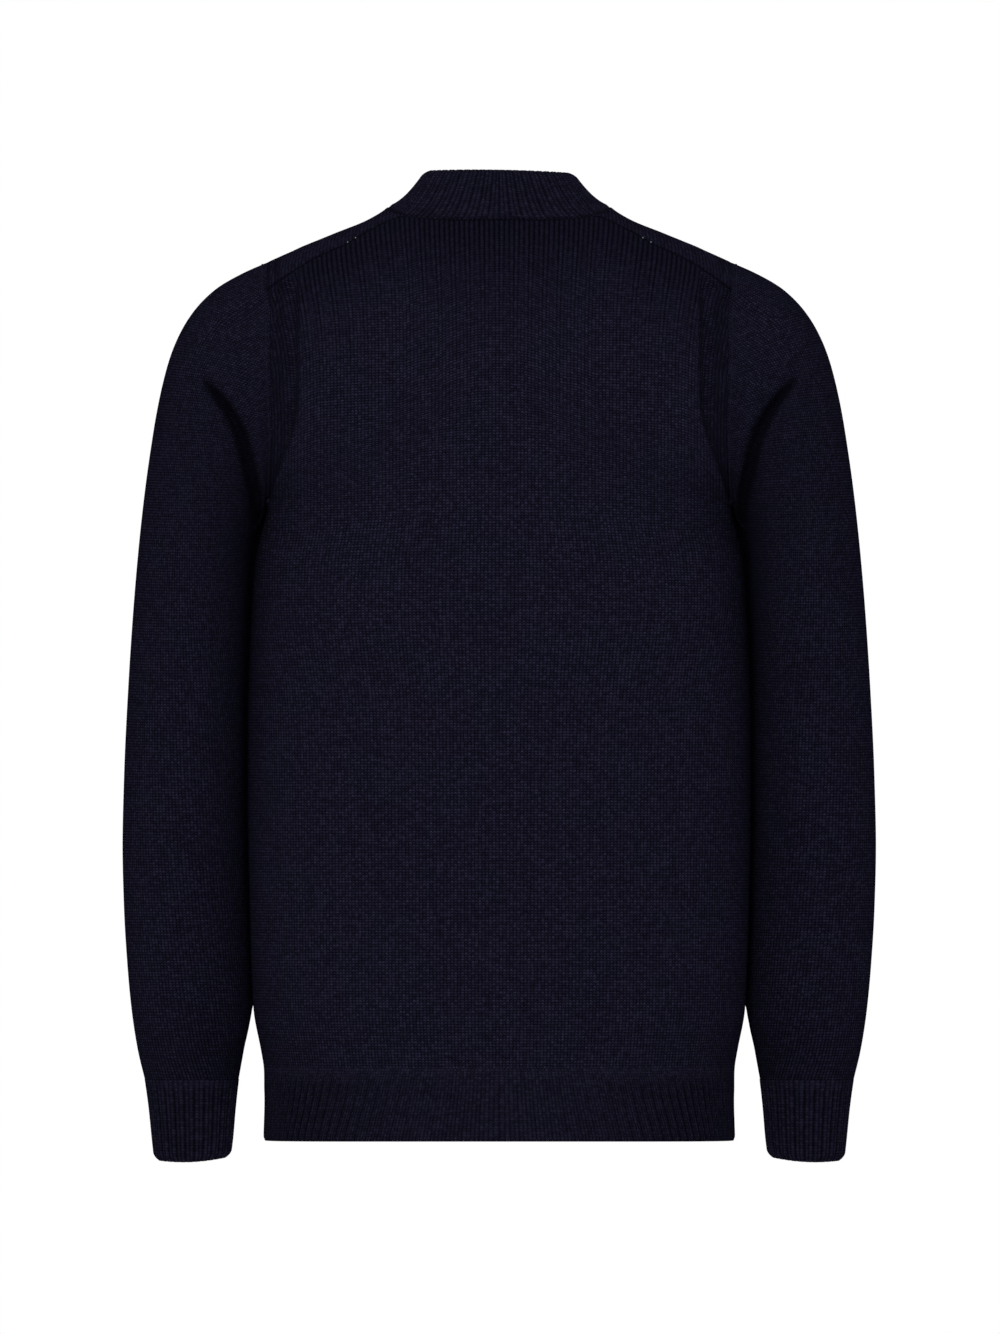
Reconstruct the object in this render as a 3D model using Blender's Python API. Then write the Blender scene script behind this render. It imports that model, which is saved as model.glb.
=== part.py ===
"""A high neck sweater in plain knit, filled out as it is worn, built as the pieces that a maker links.

Frame: metres, +Z up. The front faces -Y, and the wearer's left side is +X. The origin lies in the middle of
the neck, at the height where the shoulders meet it, which is where the sweater is held up.
"""

import math
from collections import namedtuple

import bmesh
import bpy
import numpy as np

# ---------------------------------------------------------------- driving sizes

SEAM_GAP = 0.0003  # between two pieces along the seam that links them
PLAIN_WALL = 0.0025  # the plain knit
RIB_WALL = 0.0020  # a rib band, measured in the valleys between its ribs
RIB_RAISE = 0.0013  # how far a rib stands out of those valleys

HEM_TOP = -0.640
HEM_END = -0.6945
UNDERARM = -0.220
ARMHOLE_HALF_WIDTH = 0.174
ARMHOLE_SCOOP = 0.010  # how far the armhole is cut in on the front
SCOOP_SHARPNESS = 1.5  # above 1 the cut keeps to the middle of the armhole's height

NECK_HALF_WIDTH = 0.084
NECK_BACK = 0.0645
NECK_FRONT = 0.066
NECK_BACK_ROUNDNESS = 2.6
NECK_FRONT_ROUNDNESS = 2.2

RIM_HALF_WIDTH = 0.0545
RIM_BACK = 0.056
RIM_FRONT = 0.061
RIM_BACK_HEIGHT = 0.0322
RIM_FRONT_HEIGHT = 0.006
RIM_ROUNDNESS = 2.3
RIM_LEVEL, RIM_FALL = 0.35, 1.4  # the rim starts to fall a little behind its middle, and gently

HEM_RIBS = 60  # on the back, and as many on the front
CUFF_RIBS = 27
COLLAR_RIBS = 54
RIB_EDGES = (0.0, 0.3, 0.7)  # the valley and the rib's two edges, as shares of the way to the next valley
HEM_RIB_LEAN = 2.5  # degrees by which the ribs lean out towards the hem, half way round to the sides

MITRE_LIMIT = 0.7  # keeps the inside of a sharp seam, such as the armpit, near the seam
ROUNDNESS = 2.25  # of the torso's level sections, where 2 is an ellipse and more is squarer
BACK_ARMHOLE_ROWS = 11
FRONT_ARMHOLE_ROWS = 13
LOW_ROWS = (HEM_TOP, -0.612, -0.570, -0.515, -0.455, -0.395, -0.335, -0.285, -0.252, -0.234, UNDERARM)
HUB_Y, HUB_HEIGHT = -0.005, -0.128  # the rows above the underarm fan round this level line from side to side
FINE_STEPS = 3000  # in a table of sizes, once it is read as curves
SHARP_ANGLE = 50  # degrees past which an edge is shaded sharp
OTHER_SIDE = np.array([-1.0, 1.0, 1.0])  # carries a point from one side of the body to the other


def smooth_between(keys, values, wanted):
    """The values at the wanted keys, on a curve through the given ones that never goes past them."""
    steps = np.diff(keys)
    rises = np.diff(values) / steps
    slopes = np.concatenate([rises[:1], np.zeros(len(keys) - 2), rises[-1:]])
    same_way = np.flatnonzero(rises[:-1] * rises[1:] > 0)
    before, after = rises[same_way], rises[same_way + 1]
    slopes[same_way + 1] = 2 * before * after / (before + after)
    i = np.clip(np.searchsorted(keys, wanted) - 1, 0, len(steps) - 1)
    t = (wanted - keys[i]) / steps[i]
    start = (1 + 2 * t) * (1 - t) ** 2 * values[i] + t * (1 - t) ** 2 * steps[i] * slopes[i]
    end = t**2 * (3 - 2 * t) * values[i + 1] + t**2 * (t - 1) * steps[i] * slopes[i + 1]
    return start + end


class Sizes:
    """A table of sizes with named columns, read between its rows along smooth curves. The first is the key."""

    def __init__(self, columns, *rows):
        rows = np.array(sorted(rows))
        self.keys = np.linspace(rows[0, 0], rows[-1, 0], FINE_STEPS)
        named = zip(columns.split(), rows.T)
        self.values = {name: smooth_between(rows[:, 0], column, self.keys) for name, column in named}

    def at(self, name, key):
        return np.interp(key, self.keys, self.values[name])


# Level sections through the filled-out body. Above the underarm the half width is that of the rounded form
# which the panels and the tops of the sleeves share, so it reaches past the armhole.
TORSO = Sizes(
    "height half_width side_y back_y front_y",
    (0.0250, 0.0680, 0.000, 0.0300, -0.0120),
    (0.0043, 0.0840, 0.000, 0.0500, -0.0260),
    (-0.0050, 0.0985, 0.000, 0.0645, -0.0350),
    (-0.0150, 0.1230, -0.001, 0.0700, -0.0450),
    (-0.0280, 0.1545, -0.001, 0.0765, -0.0560),
    (-0.0420, 0.1860, -0.002, 0.0820, -0.0660),
    (-0.0560, 0.2120, -0.003, 0.0870, -0.0765),
    (-0.0800, 0.2360, -0.004, 0.0955, -0.0920),
    (-0.1200, 0.2500, -0.005, 0.1060, -0.1110),
    (-0.1600, 0.2200, -0.007, 0.1115, -0.1240),
    (-0.1850, 0.1980, -0.009, 0.1130, -0.1290),
    (-0.2050, 0.1815, -0.010, 0.1135, -0.1305),
    (UNDERARM, 0.1740, -0.010, 0.1130, -0.1310),
    (-0.2380, 0.1780, -0.010, 0.1120, -0.1305),
    (-0.2600, 0.1830, -0.010, 0.1100, -0.1295),
    (-0.3200, 0.1870, -0.010, 0.1035, -0.1260),
    (-0.3800, 0.1888, -0.010, 0.0985, -0.1230),
    (-0.4400, 0.1888, -0.010, 0.0965, -0.1205),
    (-0.5100, 0.1876, -0.010, 0.0985, -0.1195),
    (-0.5960, 0.1845, -0.010, 0.1030, -0.1195),
    (-0.6280, 0.1788, -0.010, 0.1035, -0.1170),
    (HEM_TOP, 0.1768, -0.010, 0.1025, -0.1145),
    (-0.6650, 0.1750, -0.010, 0.0995, -0.1100),
    (HEM_END, 0.1758, -0.010, 0.1010, -0.1115),
)

# The shoulder seam lies behind the top of the shoulder. Its height goes by the distance from the middle.
SHOULDER_SEAM = Sizes(
    "out height",
    (0.0700, -0.0014),
    (0.0755, -0.0028),
    (0.0918, -0.0102),
    (0.1130, -0.0224),
    (0.1406, -0.0355),
    (0.1570, -0.0458),
    (0.1740, -0.0582),
)

# Where each line of points down a half panel starts on its top edge, and the turn from the middle of the
# panel towards the side seam that it has below the underarm. The lines that start on the neckline lie at whole
# ribs of the collar, counted from the middle of the back. On the shoulder they are the same front and back.
SHOULDER_LINES = (0.0880, 0.1040, 0.1200, 0.1345, 0.1450, 0.1530, 0.1630, ARMHOLE_HALF_WIDTH)
BACK_NECK_RIBS = (0, 1, 2, 3, 4, 6, 8)
BACK_LOW_TURNS = (0, 7, 14, 20.5, 27, 33.5, 40, 45.5, 50.5, 55.5, 60, 64, 68, 72, 90)
FRONT_NECK_RIBS = (27, 25, 23, 21, 19, 17, 15, 13, 11, 8)
FRONT_LOW_TURNS = (0, 6.5, 13, 19, 25, 30, 35, 39.5, 44, 48, 52, 56, 59.5, 62.5, 65.5, 68.5, 72, 90)
LOW_SPREAD = 0.1  # by this share the lines turn further towards the sides further down
SPREAD_START, SPREAD_END = 0.02, 0.12  # below the underarm
# A line has reached its lead, which is its place before its last step, at this share of the armhole's height.
LEAD_SHARE = 0.45
# The front's lines pass beside the neck before their last step, which turns in behind it to the shoulder seam.
FRONT_LAST_LEADS = (0.0865, 0.0915, 0.0970, 0.1035, 0.1140, 0.1255, 0.1370, 0.1460, 0.1535, 0.1632, 0.1740)
UNDERARM_DIP = 0.018  # how far the rows sag below the end of the side seam, under the armhole
DIP_TURN = 60  # the turn from which they sag as far as that
UNDERARM_LAG = 0.5  # how much later the lines next to the armhole turn up than the armhole itself

# The back and the front stand in a soft upright fold in front of each armhole. The ridge runs down from the
# shoulder and out to the side, where it fades, and the cloth behind it is let in as far as the armhole seam.
ARMHOLE_FOLD = Sizes(
    "height out strength",
    (0.0250, 0.1490, 0.0),
    (-0.0300, 0.1490, 0.3),
    (-0.0600, 0.1490, 0.9),
    (-0.1400, 0.1494, 1.0),
    (-0.1630, 0.1530, 1.0),
    (-0.1850, 0.1610, 0.7),
    (-0.2150, 0.1720, 0.2),
    (-0.2380, 0.1780, 0.0),
    (-0.7000, 0.1780, 0.0),
)
FOLD_RIDGE, FOLD_RIDGE_WIDTH, FOLD_RIDGE_AHEAD = 0.0025, 0.010, 0.004
FOLD_STEP, FOLD_STEP_WIDTH, FOLD_STEP_AHEAD = 0.0070, 0.0085, 0.001
FRONT_FOLD_SHARE = 0.6

# A section across an arm runs from its outer edge to its inner one, and is as deep from front to back as
# twice its half depth. Its arm shape says how far it has left the shape of the armhole for a round one.
ARM_COLUMNS = "outer_x outer_z inner_x inner_z centre_y half_depth arm_shape"
ArmSection = namedtuple("ArmSection", ARM_COLUMNS, defaults=[1.0])
SLEEVE_ROWS = (
    # outer_x, outer_z, inner_x, inner_z, centre_y, half_depth, arm_shape
    (0.1930, -0.0455, 0.1762, -0.2265, -0.0040, 0.0760, 0.10),
    (0.2120, -0.0565, 0.1792, -0.2325, -0.0042, 0.0750, 0.25),
    (0.2280, -0.0720, 0.1822, -0.2385, -0.0045, 0.0725, 0.42),
    (0.2390, -0.0890, 0.1845, -0.2445, -0.0048, 0.0700, 0.58),
    (0.2470, -0.1080, 0.1858, -0.2515, -0.0052, 0.0680, 0.72),
    (0.2530, -0.1300, 0.1866, -0.2595, -0.0057, 0.0662, 0.84),
    (0.2575, -0.1520, 0.1873, -0.2690, -0.0063, 0.0647, 0.93),
    (0.2612, -0.1750, 0.1880, -0.2810, -0.0070, 0.0634, 1.00),
    (0.2652, -0.2030, 0.1888, -0.2960, -0.0080, 0.0623, 1.00),
    (0.2695, -0.2400, 0.1897, -0.3170, -0.0095, 0.0612, 1.00),
    (0.2742, -0.2920, 0.1905, -0.3480, -0.0120, 0.0592, 1.00),
    (0.2785, -0.3560, 0.1910, -0.3900, -0.0150, 0.0558, 1.00),
    (0.2816, -0.4200, 0.1911, -0.4380, -0.0190, 0.0518, 1.00),
    (0.2829, -0.4750, 0.1904, -0.4830, -0.0230, 0.0480, 1.00),
    (0.2819, -0.5200, 0.1892, -0.5230, -0.0265, 0.0453, 1.00),
    (0.2795, -0.5620, 0.1874, -0.5630, -0.0300, 0.0432, 1.00),
    (0.2762, -0.5980, 0.1866, -0.5980, -0.0330, 0.0418, 1.00),
    (0.2716, -0.6280, 0.1918, -0.6280, -0.0352, 0.0398, 1.00),
    (0.2664, -0.6500, 0.1958, -0.6500, -0.0366, 0.0366, 1.00),
)

CUFF_ROWS = (
    # outer_x, outer_z, inner_x, inner_z, centre_y, half_depth
    (0.2652, -0.6500, 0.1968, -0.6500, -0.0366, 0.0356),
    (0.2622, -0.6730, 0.1992, -0.6730, -0.0378, 0.0330),
    (0.2600, -0.6950, 0.2010, -0.6940, -0.0390, 0.0325),
    (0.2582, -0.7115, 0.2030, -0.7062, -0.0399, 0.0322),
)

SLEEVE_SECTIONS = [ArmSection(*row) for row in SLEEVE_ROWS]
CUFF_SECTIONS = [ArmSection(*row) for row in CUFF_ROWS]

# The deep soft fold on the back of each sleeve runs down and in to the armpit. The front has a milder one.
SLEEVE_FOLD = (
    # x, z, depth, width
    (0.2250, -0.1180, 0.0000, 0.0060),
    (0.2080, -0.1400, 0.0045, 0.0070),
    (0.1980, -0.1650, 0.0080, 0.0080),
    (0.1910, -0.1900, 0.0095, 0.0085),
    (0.1860, -0.2180, 0.0080, 0.0085),
    (0.1840, -0.2400, 0.0030, 0.0080),
)
FRONT_SLEEVE_FOLD_SHARE = 0.5
SLEEVE_FOLD_CLEAR = 0.016  # the fold keeps this far from the armhole, where the seam holds the cloth

HEM_HEIGHTS = (HEM_TOP, -0.6670, HEM_END)
COLLAR_SHARES = (0.0, 0.22, 0.48, 0.76, 0.95, 1.0)  # of the way up from the neckline to the rim
COLLAR_FLARE = 0.8  # below 1 the collar curves in above the shoulders before it rises
RIM_ROLL = 0.0012  # how far the rim's edge rolls in at its top


# ---------------------------------------------------------------- the torso's rounded form


def unit(vectors):
    return vectors / np.linalg.norm(vectors, axis=-1, keepdims=True)


def ease(share):
    share = np.clip(share, 0.0, 1.0)
    return share * share * (3 - 2 * share)


def depth_at(facing, z):
    """How far the back (facing 1) or the front (facing -1) stands from the line of the side seams."""
    return facing * (TORSO.at("back_y" if facing > 0 else "front_y", z) - TORSO.at("side_y", z))


def form_level(point):
    """Below 1 inside the form, and 1 on its skin."""
    x, y, z = point
    away = y - TORSO.at("side_y", z)
    across = abs(x / TORSO.at("half_width", z)) ** ROUNDNESS
    return across + abs(away / depth_at(1 if away > 0 else -1, z)) ** ROUNDNESS


def form_normal(point):
    step = 0.0002
    slopes = [form_level(point + step * axis) - form_level(point - step * axis) for axis in np.eye(3)]
    return unit(np.array(slopes))


def skin_point(facing, turn, z):
    """The point on a level section, from 0 degrees in the middle of the panel to 90 at the side seam."""
    angle = math.radians(turn)
    across = math.sin(angle) ** (2 / ROUNDNESS)
    away = max(math.cos(angle), 0.0) ** (2 / ROUNDNESS)
    side = TORSO.at("side_y", z)
    return np.array([across * TORSO.at("half_width", z), side + facing * away * depth_at(facing, z), z])


def skin_from(start, direction, stride=0.004, halvings=24):
    """The first point where a straight line from inside the form leaves it."""
    reach = 0.0
    while form_level(start + (reach + stride) * direction) < 1:
        reach += stride
    for _ in range(halvings):
        stride /= 2
        if form_level(start + (reach + stride) * direction) < 1:
            reach += stride
    return start + reach * direction


def neck_point(turn):
    """The neckline, an oval laid down on the form: 0 degrees is the middle of the back, 90 the left side."""
    angle = math.radians(turn)
    at_back = turn <= 90
    power = 2 / (NECK_BACK_ROUNDNESS if at_back else NECK_FRONT_ROUNDNESS)
    x = NECK_HALF_WIDTH * abs(math.sin(angle)) ** power
    y = (NECK_BACK if at_back else -NECK_FRONT) * abs(math.cos(angle)) ** power
    return skin_from(np.array([x, y, HUB_HEIGHT]), np.array([0.0, 0.0, 1.0]))


def shoulder_point(x):
    z = SHOULDER_SEAM.at("height", x)
    away = (1 - (x / TORSO.at("half_width", z)) ** ROUNDNESS) ** (1 / ROUNDNESS)
    return np.array([x, TORSO.at("side_y", z) + away * depth_at(1, z), z])


def armhole_fold(point, facing):
    """How far the fold before the armhole moves the cloth of a panel out."""
    x, _, z = point
    behind = x - ARMHOLE_FOLD.at("out", z)
    ridge = FOLD_RIDGE * math.exp(-(((behind + FOLD_RIDGE_AHEAD) / FOLD_RIDGE_WIDTH) ** 2))
    step = FOLD_STEP * ease((behind + FOLD_STEP_AHEAD) / FOLD_STEP_WIDTH)
    share = 1.0 if facing > 0 else FRONT_FOLD_SHARE
    return share * ARMHOLE_FOLD.at("strength", z) * (ridge - step)


# ---------------------------------------------------------------- panels, as grids for their left halves


def low_line(facing, turn):
    """A line's points from the hem rib up to the underarm."""
    points = []
    for z in LOW_ROWS:
        if turn == 90:
            points.append(skin_point(facing, turn, z))
            continue
        dip = UNDERARM_DIP * ease(turn / DIP_TURN)
        height = HEM_TOP + (z - HEM_TOP) * (1 - dip / (UNDERARM - HEM_TOP))
        spread = 1 + LOW_SPREAD * ease((UNDERARM - SPREAD_START - height) / (SPREAD_END - SPREAD_START))
        points.append(skin_point(facing, turn * spread, height))
    return points


def half_panel(facing, tops, leads, low_turns, armhole_rows):
    """Rows of points from the hem up, each from the middle out, with the form's normals there."""
    edge_end = math.atan2(tops[-1][2] - HUB_HEIGHT, facing * (tops[-1][1] - HUB_Y))
    lines = []
    for top, lead, turn in zip(tops, leads, low_turns):
        line = low_line(facing, turn)
        low = line[-1]
        start = math.atan2(low[2] - HUB_HEIGHT, facing * (low[1] - HUB_Y)) if turn < 90 else -math.pi / 2
        end = math.atan2(top[2] - HUB_HEIGHT, facing * (top[1] - HUB_Y))
        for row in range(1, armhole_rows + 1):
            share = row / armhole_rows
            edge_angle = -math.pi / 2 + share * (edge_end + math.pi / 2)
            scoop = ARMHOLE_SCOOP * max(math.cos(edge_angle), 0.0) ** SCOOP_SHARPNESS if facing < 0 else 0.0
            x = low[0] + ease(share / LEAD_SHARE) * (lead - low[0]) if row < armhole_rows else top[0]
            x *= 1 - scoop / ARMHOLE_HALF_WIDTH
            angle = start + share ** (1 + UNDERARM_LAG * (turn / 90) ** 2 * (turn < 90)) * (end - start)
            hub = np.array([x, HUB_Y, HUB_HEIGHT])
            line.append(skin_from(hub, np.array([0.0, facing * math.cos(angle), math.sin(angle)])))
        lines.append(line)
    form = np.array(lines).swapaxes(0, 1)
    normals = np.array([[form_normal(point) for point in row] for row in form])
    moved = np.array([[armhole_fold(point, facing) for point in row] for row in form])
    return form + moved[..., None] * normals, normals


def mitre(first, second, wall):
    """The way in from a seam between two walls, with the outward normals that they have there."""
    both = (first + second) / 2
    return -wall * unit(both) / np.maximum(np.linalg.norm(both, axis=-1, keepdims=True), MITRE_LIMIT)


def grid_normals(points, centres):
    """Normals of a grid whose rows are closed rings, away from the rings' centres."""
    along = np.gradient(points, axis=0)
    around = np.roll(points, -1, axis=1) - np.roll(points, 1, axis=1)
    normals = unit(np.cross(along, around))
    outward = np.sum(normals * (points - centres[:, None]), axis=-1, keepdims=True) > 0
    return np.where(outward, normals, -normals)


# ---------------------------------------------------------------- sleeves, cuffs and collar


def arm_axes(section):
    """A section's centre, and the ways from there to the outer edge of the arm and to its back."""
    outer = np.array([section.outer_x, section.centre_y, section.outer_z])
    inner = np.array([section.inner_x, section.centre_y, section.inner_z])
    return (outer + inner) / 2, (outer - inner) / 2, np.array([0.0, section.half_depth, 0.0])


def ring(section, turns):
    """A section's points, with each turn measured from the outer edge of the arm over the back."""
    centre, across, depth = arm_axes(section)
    return centre + np.cos(turns)[:, None] * across + np.sin(turns)[:, None] * depth


def sleeve_fold(point):
    """How far in the fold on the back or front of a sleeve draws the cloth at a point."""
    x, y, z = point
    rows = np.array(SLEEVE_FOLD)
    nearest, deep = np.inf, 0.0
    for start, end in zip(rows[:-1], rows[1:]):
        run = end[:2] - start[:2]
        share = np.clip(np.dot(np.array([x, z]) - start[:2], run) / np.dot(run, run), 0, 1)
        x_here, z_here, depth_here, width_here = start + share * (end - start)
        distance = math.hypot(x - x_here, z - z_here) / width_here
        if distance < nearest:
            nearest, deep = distance, depth_here
    share = 1.0 if y > HUB_Y else FRONT_SLEEVE_FOLD_SHARE
    from_seam = ease((x - ARMHOLE_HALF_WIDTH) / SLEEVE_FOLD_CLEAR)
    return share * from_seam * deep * math.exp(-(nearest**2))


def sleeve_grid(armhole):
    """Rings of points from the armhole down to the cuff, and the normals there."""
    hub = np.array([ARMHOLE_HALF_WIDTH, HUB_Y, HUB_HEIGHT])
    turns = np.arctan2(armhole[:, 1] - hub[1], armhole[:, 2] - hub[2])
    top, bottom = armhole[:, 2].max(), armhole[:, 2].min()
    half_height, half_depth = (top - bottom) / 2, np.ptp(armhole[:, 1]) / 2
    middle_y = (armhole[:, 1].max() + armhole[:, 1].min()) / 2
    up = (armhole[:, 2] - (top + bottom) / 2) / half_height
    back = (armhole[:, 1] - middle_y) / half_depth
    scoop = armhole[:, 0] - ARMHOLE_HALF_WIDTH
    rings, centres = [armhole], [hub]
    for section in SLEEVE_SECTIONS:
        centre, outward, depth = arm_axes(section)
        as_armhole = centre + up[:, None] * outward + back[:, None] * depth
        as_armhole[:, 0] += scoop
        rings.append(as_armhole + section.arm_shape * (ring(section, turns) - as_armhole))
        centres.append(centre)
    points, centres = np.array(rings), np.array(centres)
    normals = grid_normals(points, centres)
    folds = np.array([[sleeve_fold(point) for point in row] for row in points])
    folds[0] = 0.0
    return points - folds[..., None] * normals, normals


def ribbed(skin, normals, wall):
    """Outer and inner points of a rib band: its ribs are raised outside, and its inside is plain.

    The skin has a column of points for each valley and each rib's edge, and they lie at the valleys' depth.
    """
    is_rib = np.arange(skin.shape[1]) % len(RIB_EDGES) != 0
    outer = skin + RIB_RAISE * is_rib[None, :, None] * normals
    inner = (skin - wall * normals)[:, :: len(RIB_EDGES)]
    return outer, inner


def rib_columns(count, closed):
    """Places of the valleys and of the ribs' edges, in ribs from the start of a band."""
    places = [rib + edge for rib in range(count) for edge in RIB_EDGES]
    return np.array(places if closed else places + [count])


# ---------------------------------------------------------------- seams and walls


def pull_back(outer, inner, into, closed=False):
    """Draws a line of a wall's points back from its seam by half the gap, square to it, into its piece."""
    along = np.roll(outer, -1, axis=0) - np.roll(outer, 1, axis=0) if closed else np.gradient(outer, axis=0)
    reach = len(outer) // len(inner)
    across = unit(np.cross(along[::reach], inner - outer[::reach]))
    across *= np.sign(across @ np.array(into))[:, None] * SEAM_GAP / 2
    outer += np.repeat(across, reach, axis=0)
    inner += across


def wall_object(name, outer, inner, closed, look, mirrored=False):
    """A closed wall between two grids of points. The outer one may have several columns for each inner one."""
    bm = bmesh.new()
    side = OTHER_SIDE if mirrored else np.ones(3)
    skins = [[[bm.verts.new(point * side) for point in row] for row in grid] for grid in (outer, inner)]
    if closed:
        skins = [[row + row[:1] for row in skin] for skin in skins]
    reach = (len(skins[0][0]) - 1) // (len(skins[1][0]) - 1)
    for skin in skins:
        guide = skins[0] if reach == 1 else skin
        for row in range(len(skin) - 1):
            for i in range(len(skin[row]) - 1):
                corners = [(row, i), (row, i + 1), (row + 1, i + 1), (row + 1, i)]
                a, b, c, d = [guide[j][k].co for j, k in corners]
                first = 0 if (a - c).length < (b - d).length else 1
                a, b, c, d = [skin[j][k] for j, k in corners[first:] + corners[:first]]
                bm.faces.new((a, b, c))
                bm.faces.new((a, c, d))
    for end in (0, -1):
        for i in range(len(skins[1][end]) - 1):
            out = skins[0][end][i * reach : (i + 1) * reach + 1]
            bm.faces.new(out + [skins[1][end][i + 1], skins[1][end][i]])
    if not closed:
        for side_end in (0, -1):
            for row in range(len(outer) - 1):
                out = [skins[0][row][side_end], skins[0][row + 1][side_end]]
                bm.faces.new(out + [skins[1][row + 1][side_end], skins[1][row][side_end]])
    bmesh.ops.recalc_face_normals(bm, faces=bm.faces)
    mesh = bpy.data.meshes.new(name)
    bm.to_mesh(mesh)
    bm.free()
    mesh.shade_smooth()
    mesh.set_sharp_from_angle(angle=math.radians(SHARP_ANGLE))
    mesh.materials.append(look)
    thing = bpy.data.objects.new(name, mesh)
    bpy.context.scene.collection.objects.link(thing)
    return thing


def knit_look(name, colour, roughness):
    look = bpy.data.materials.new(name)
    look.use_nodes = True
    shader = look.node_tree.nodes["Principled BSDF"]
    shader.inputs["Base Color"].default_value = (*colour, 1.0)
    shader.inputs["Roughness"].default_value = roughness
    shader.inputs["Metallic"].default_value = 0.0
    look.diffuse_color = (*colour, 1.0)
    return look


# ---------------------------------------------------------------- the pieces


def collar_ring(turns, base, share):
    """The collar's points at a share of its height, above the points of its base."""
    points = []
    for turn, low in zip(turns, base):
        angle = math.radians(turn)
        power = 2 / RIM_ROUNDNESS
        across = math.copysign(abs(math.sin(angle)) ** power, math.sin(angle))
        away = math.copysign(abs(math.cos(angle)) ** power, math.cos(angle))
        y = away * (RIM_BACK if away > 0 else RIM_FRONT)
        fall = ease((RIM_LEVEL - away) / (RIM_LEVEL + 1)) ** RIM_FALL
        height = RIM_BACK_HEIGHT + fall * (RIM_FRONT_HEIGHT - RIM_BACK_HEIGHT)
        rim = np.array([across * RIM_HALF_WIDTH, y, height])
        drawn_in = share**COLLAR_FLARE
        flat = low[:2] + drawn_in * (rim[:2] - low[:2])
        points.append([*flat, low[2] + share * (rim[2] - low[2])])
    return np.array(points)


def mirrored_whole(half):
    """A whole panel's rows from its left half, which starts in the middle."""
    return np.concatenate([half[:, :0:-1] * OTHER_SIDE, half], axis=1)


def panel_object(name, facing, outer, inner, corner, look):
    """A panel from its left half, with its edges drawn back from the seams at the sides, top and hem rib."""
    underarm = len(LOW_ROWS) - 1
    inner[0, :, 2] = outer[0, :, 2]
    outer[: underarm + 1, -1, 1] += facing * SEAM_GAP / 2
    inner[: underarm + 1, -1, 1] = outer[: underarm + 1, -1, 1]
    pull_back(outer[underarm:, -1], inner[underarm:, -1], (-1, 0, 0))
    pull_back(outer[-1, corner:], inner[-1, corner:], (0, facing, 0))
    outer, inner = mirrored_whole(outer), mirrored_whole(inner)
    middle = outer.shape[1] // 2
    neck = slice(middle - corner, middle + corner + 1)
    pull_back(outer[-1, neck], inner[-1, neck], (0, 0, -1))
    outer[0, :, 2] += SEAM_GAP / 2
    inner[0, :, 2] += SEAM_GAP / 2
    return wall_object(name, outer, inner, False, look)


def hem_object(name, facing, look):
    """Half of the ribbed hem, from side seam to side seam."""
    places = rib_columns(HEM_RIBS, closed=False)
    rows, normals = [], []
    for z in HEM_HEIGHTS:
        low = (HEM_TOP - z) / (HEM_TOP - HEM_END)
        row = []
        for place in places:
            turn = 180 * place / HEM_RIBS - 90
            turn += HEM_RIB_LEAN * low * math.sin(math.radians(2 * turn))
            point = skin_point(facing, abs(turn), z)
            row.append(point * np.array([math.copysign(1.0, turn), 1.0, 1.0]))
        rows.append(row)
        level = [form_normal(point) * np.array([1.0, 1.0, 0.0]) for point in row]
        normals.append(unit(np.array(level)))
    outer, inner = ribbed(np.array(rows), np.array(normals), RIB_WALL)
    for end in (0, -1):
        outer[:, end, 1] = np.array(rows)[:, end, 1] + facing * SEAM_GAP / 2
        inner[:, end, 1] = outer[:, end, 1]
    outer[0, :, 2] -= SEAM_GAP / 2
    inner[0, :, 2] -= SEAM_GAP / 2
    return wall_object(name, outer, inner, False, look)


def cuff_object(name, look, mirrored):
    turns = 2 * math.pi * rib_columns(CUFF_RIBS, closed=True) / CUFF_RIBS
    centres = np.array([arm_axes(section)[0] for section in CUFF_SECTIONS])
    skin = np.array([ring(section, turns) for section in CUFF_SECTIONS])
    normals = grid_normals(skin, centres)
    normals[0, :, 2] = 0.0
    normals[0] = unit(normals[0])
    outer, inner = ribbed(skin, normals, RIB_WALL)
    outer[0, :, 2] -= SEAM_GAP / 2
    inner[0, :, 2] -= SEAM_GAP / 2
    return wall_object(name, outer, inner, True, look, mirrored)


def collar_object(name, neck_turns, neck_outer, neck_inner, look):
    """The ribbed collar, which stands on the whole neckline."""
    turns = 360 * rib_columns(COLLAR_RIBS, closed=True) / COLLAR_RIBS
    base = np.array([np.interp(turns, neck_turns, neck_outer[:, k]) for k in range(3)]).T
    base_inner = np.array([np.interp(turns, neck_turns, neck_inner[:, k]) for k in range(3)]).T
    skin = np.array([collar_ring(turns, base, share) for share in COLLAR_SHARES])
    normals = grid_normals(skin, np.array([[0.0, 0.0, row[:, 2].mean()] for row in skin]))
    normals[0] = unit(base - base_inner)
    outer, inner = ribbed(skin, normals, RIB_WALL)
    inner[0] = base_inner[:: len(RIB_EDGES)]
    outer[-1] -= RIM_ROLL * normals[-1]
    inner[-1] += RIM_ROLL / 2 * normals[-1][:: len(RIB_EDGES)]
    pull_back(outer[0], inner[0], (0, 0, 1), closed=True)
    return wall_object(name, outer, inner, True, look)


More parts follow.
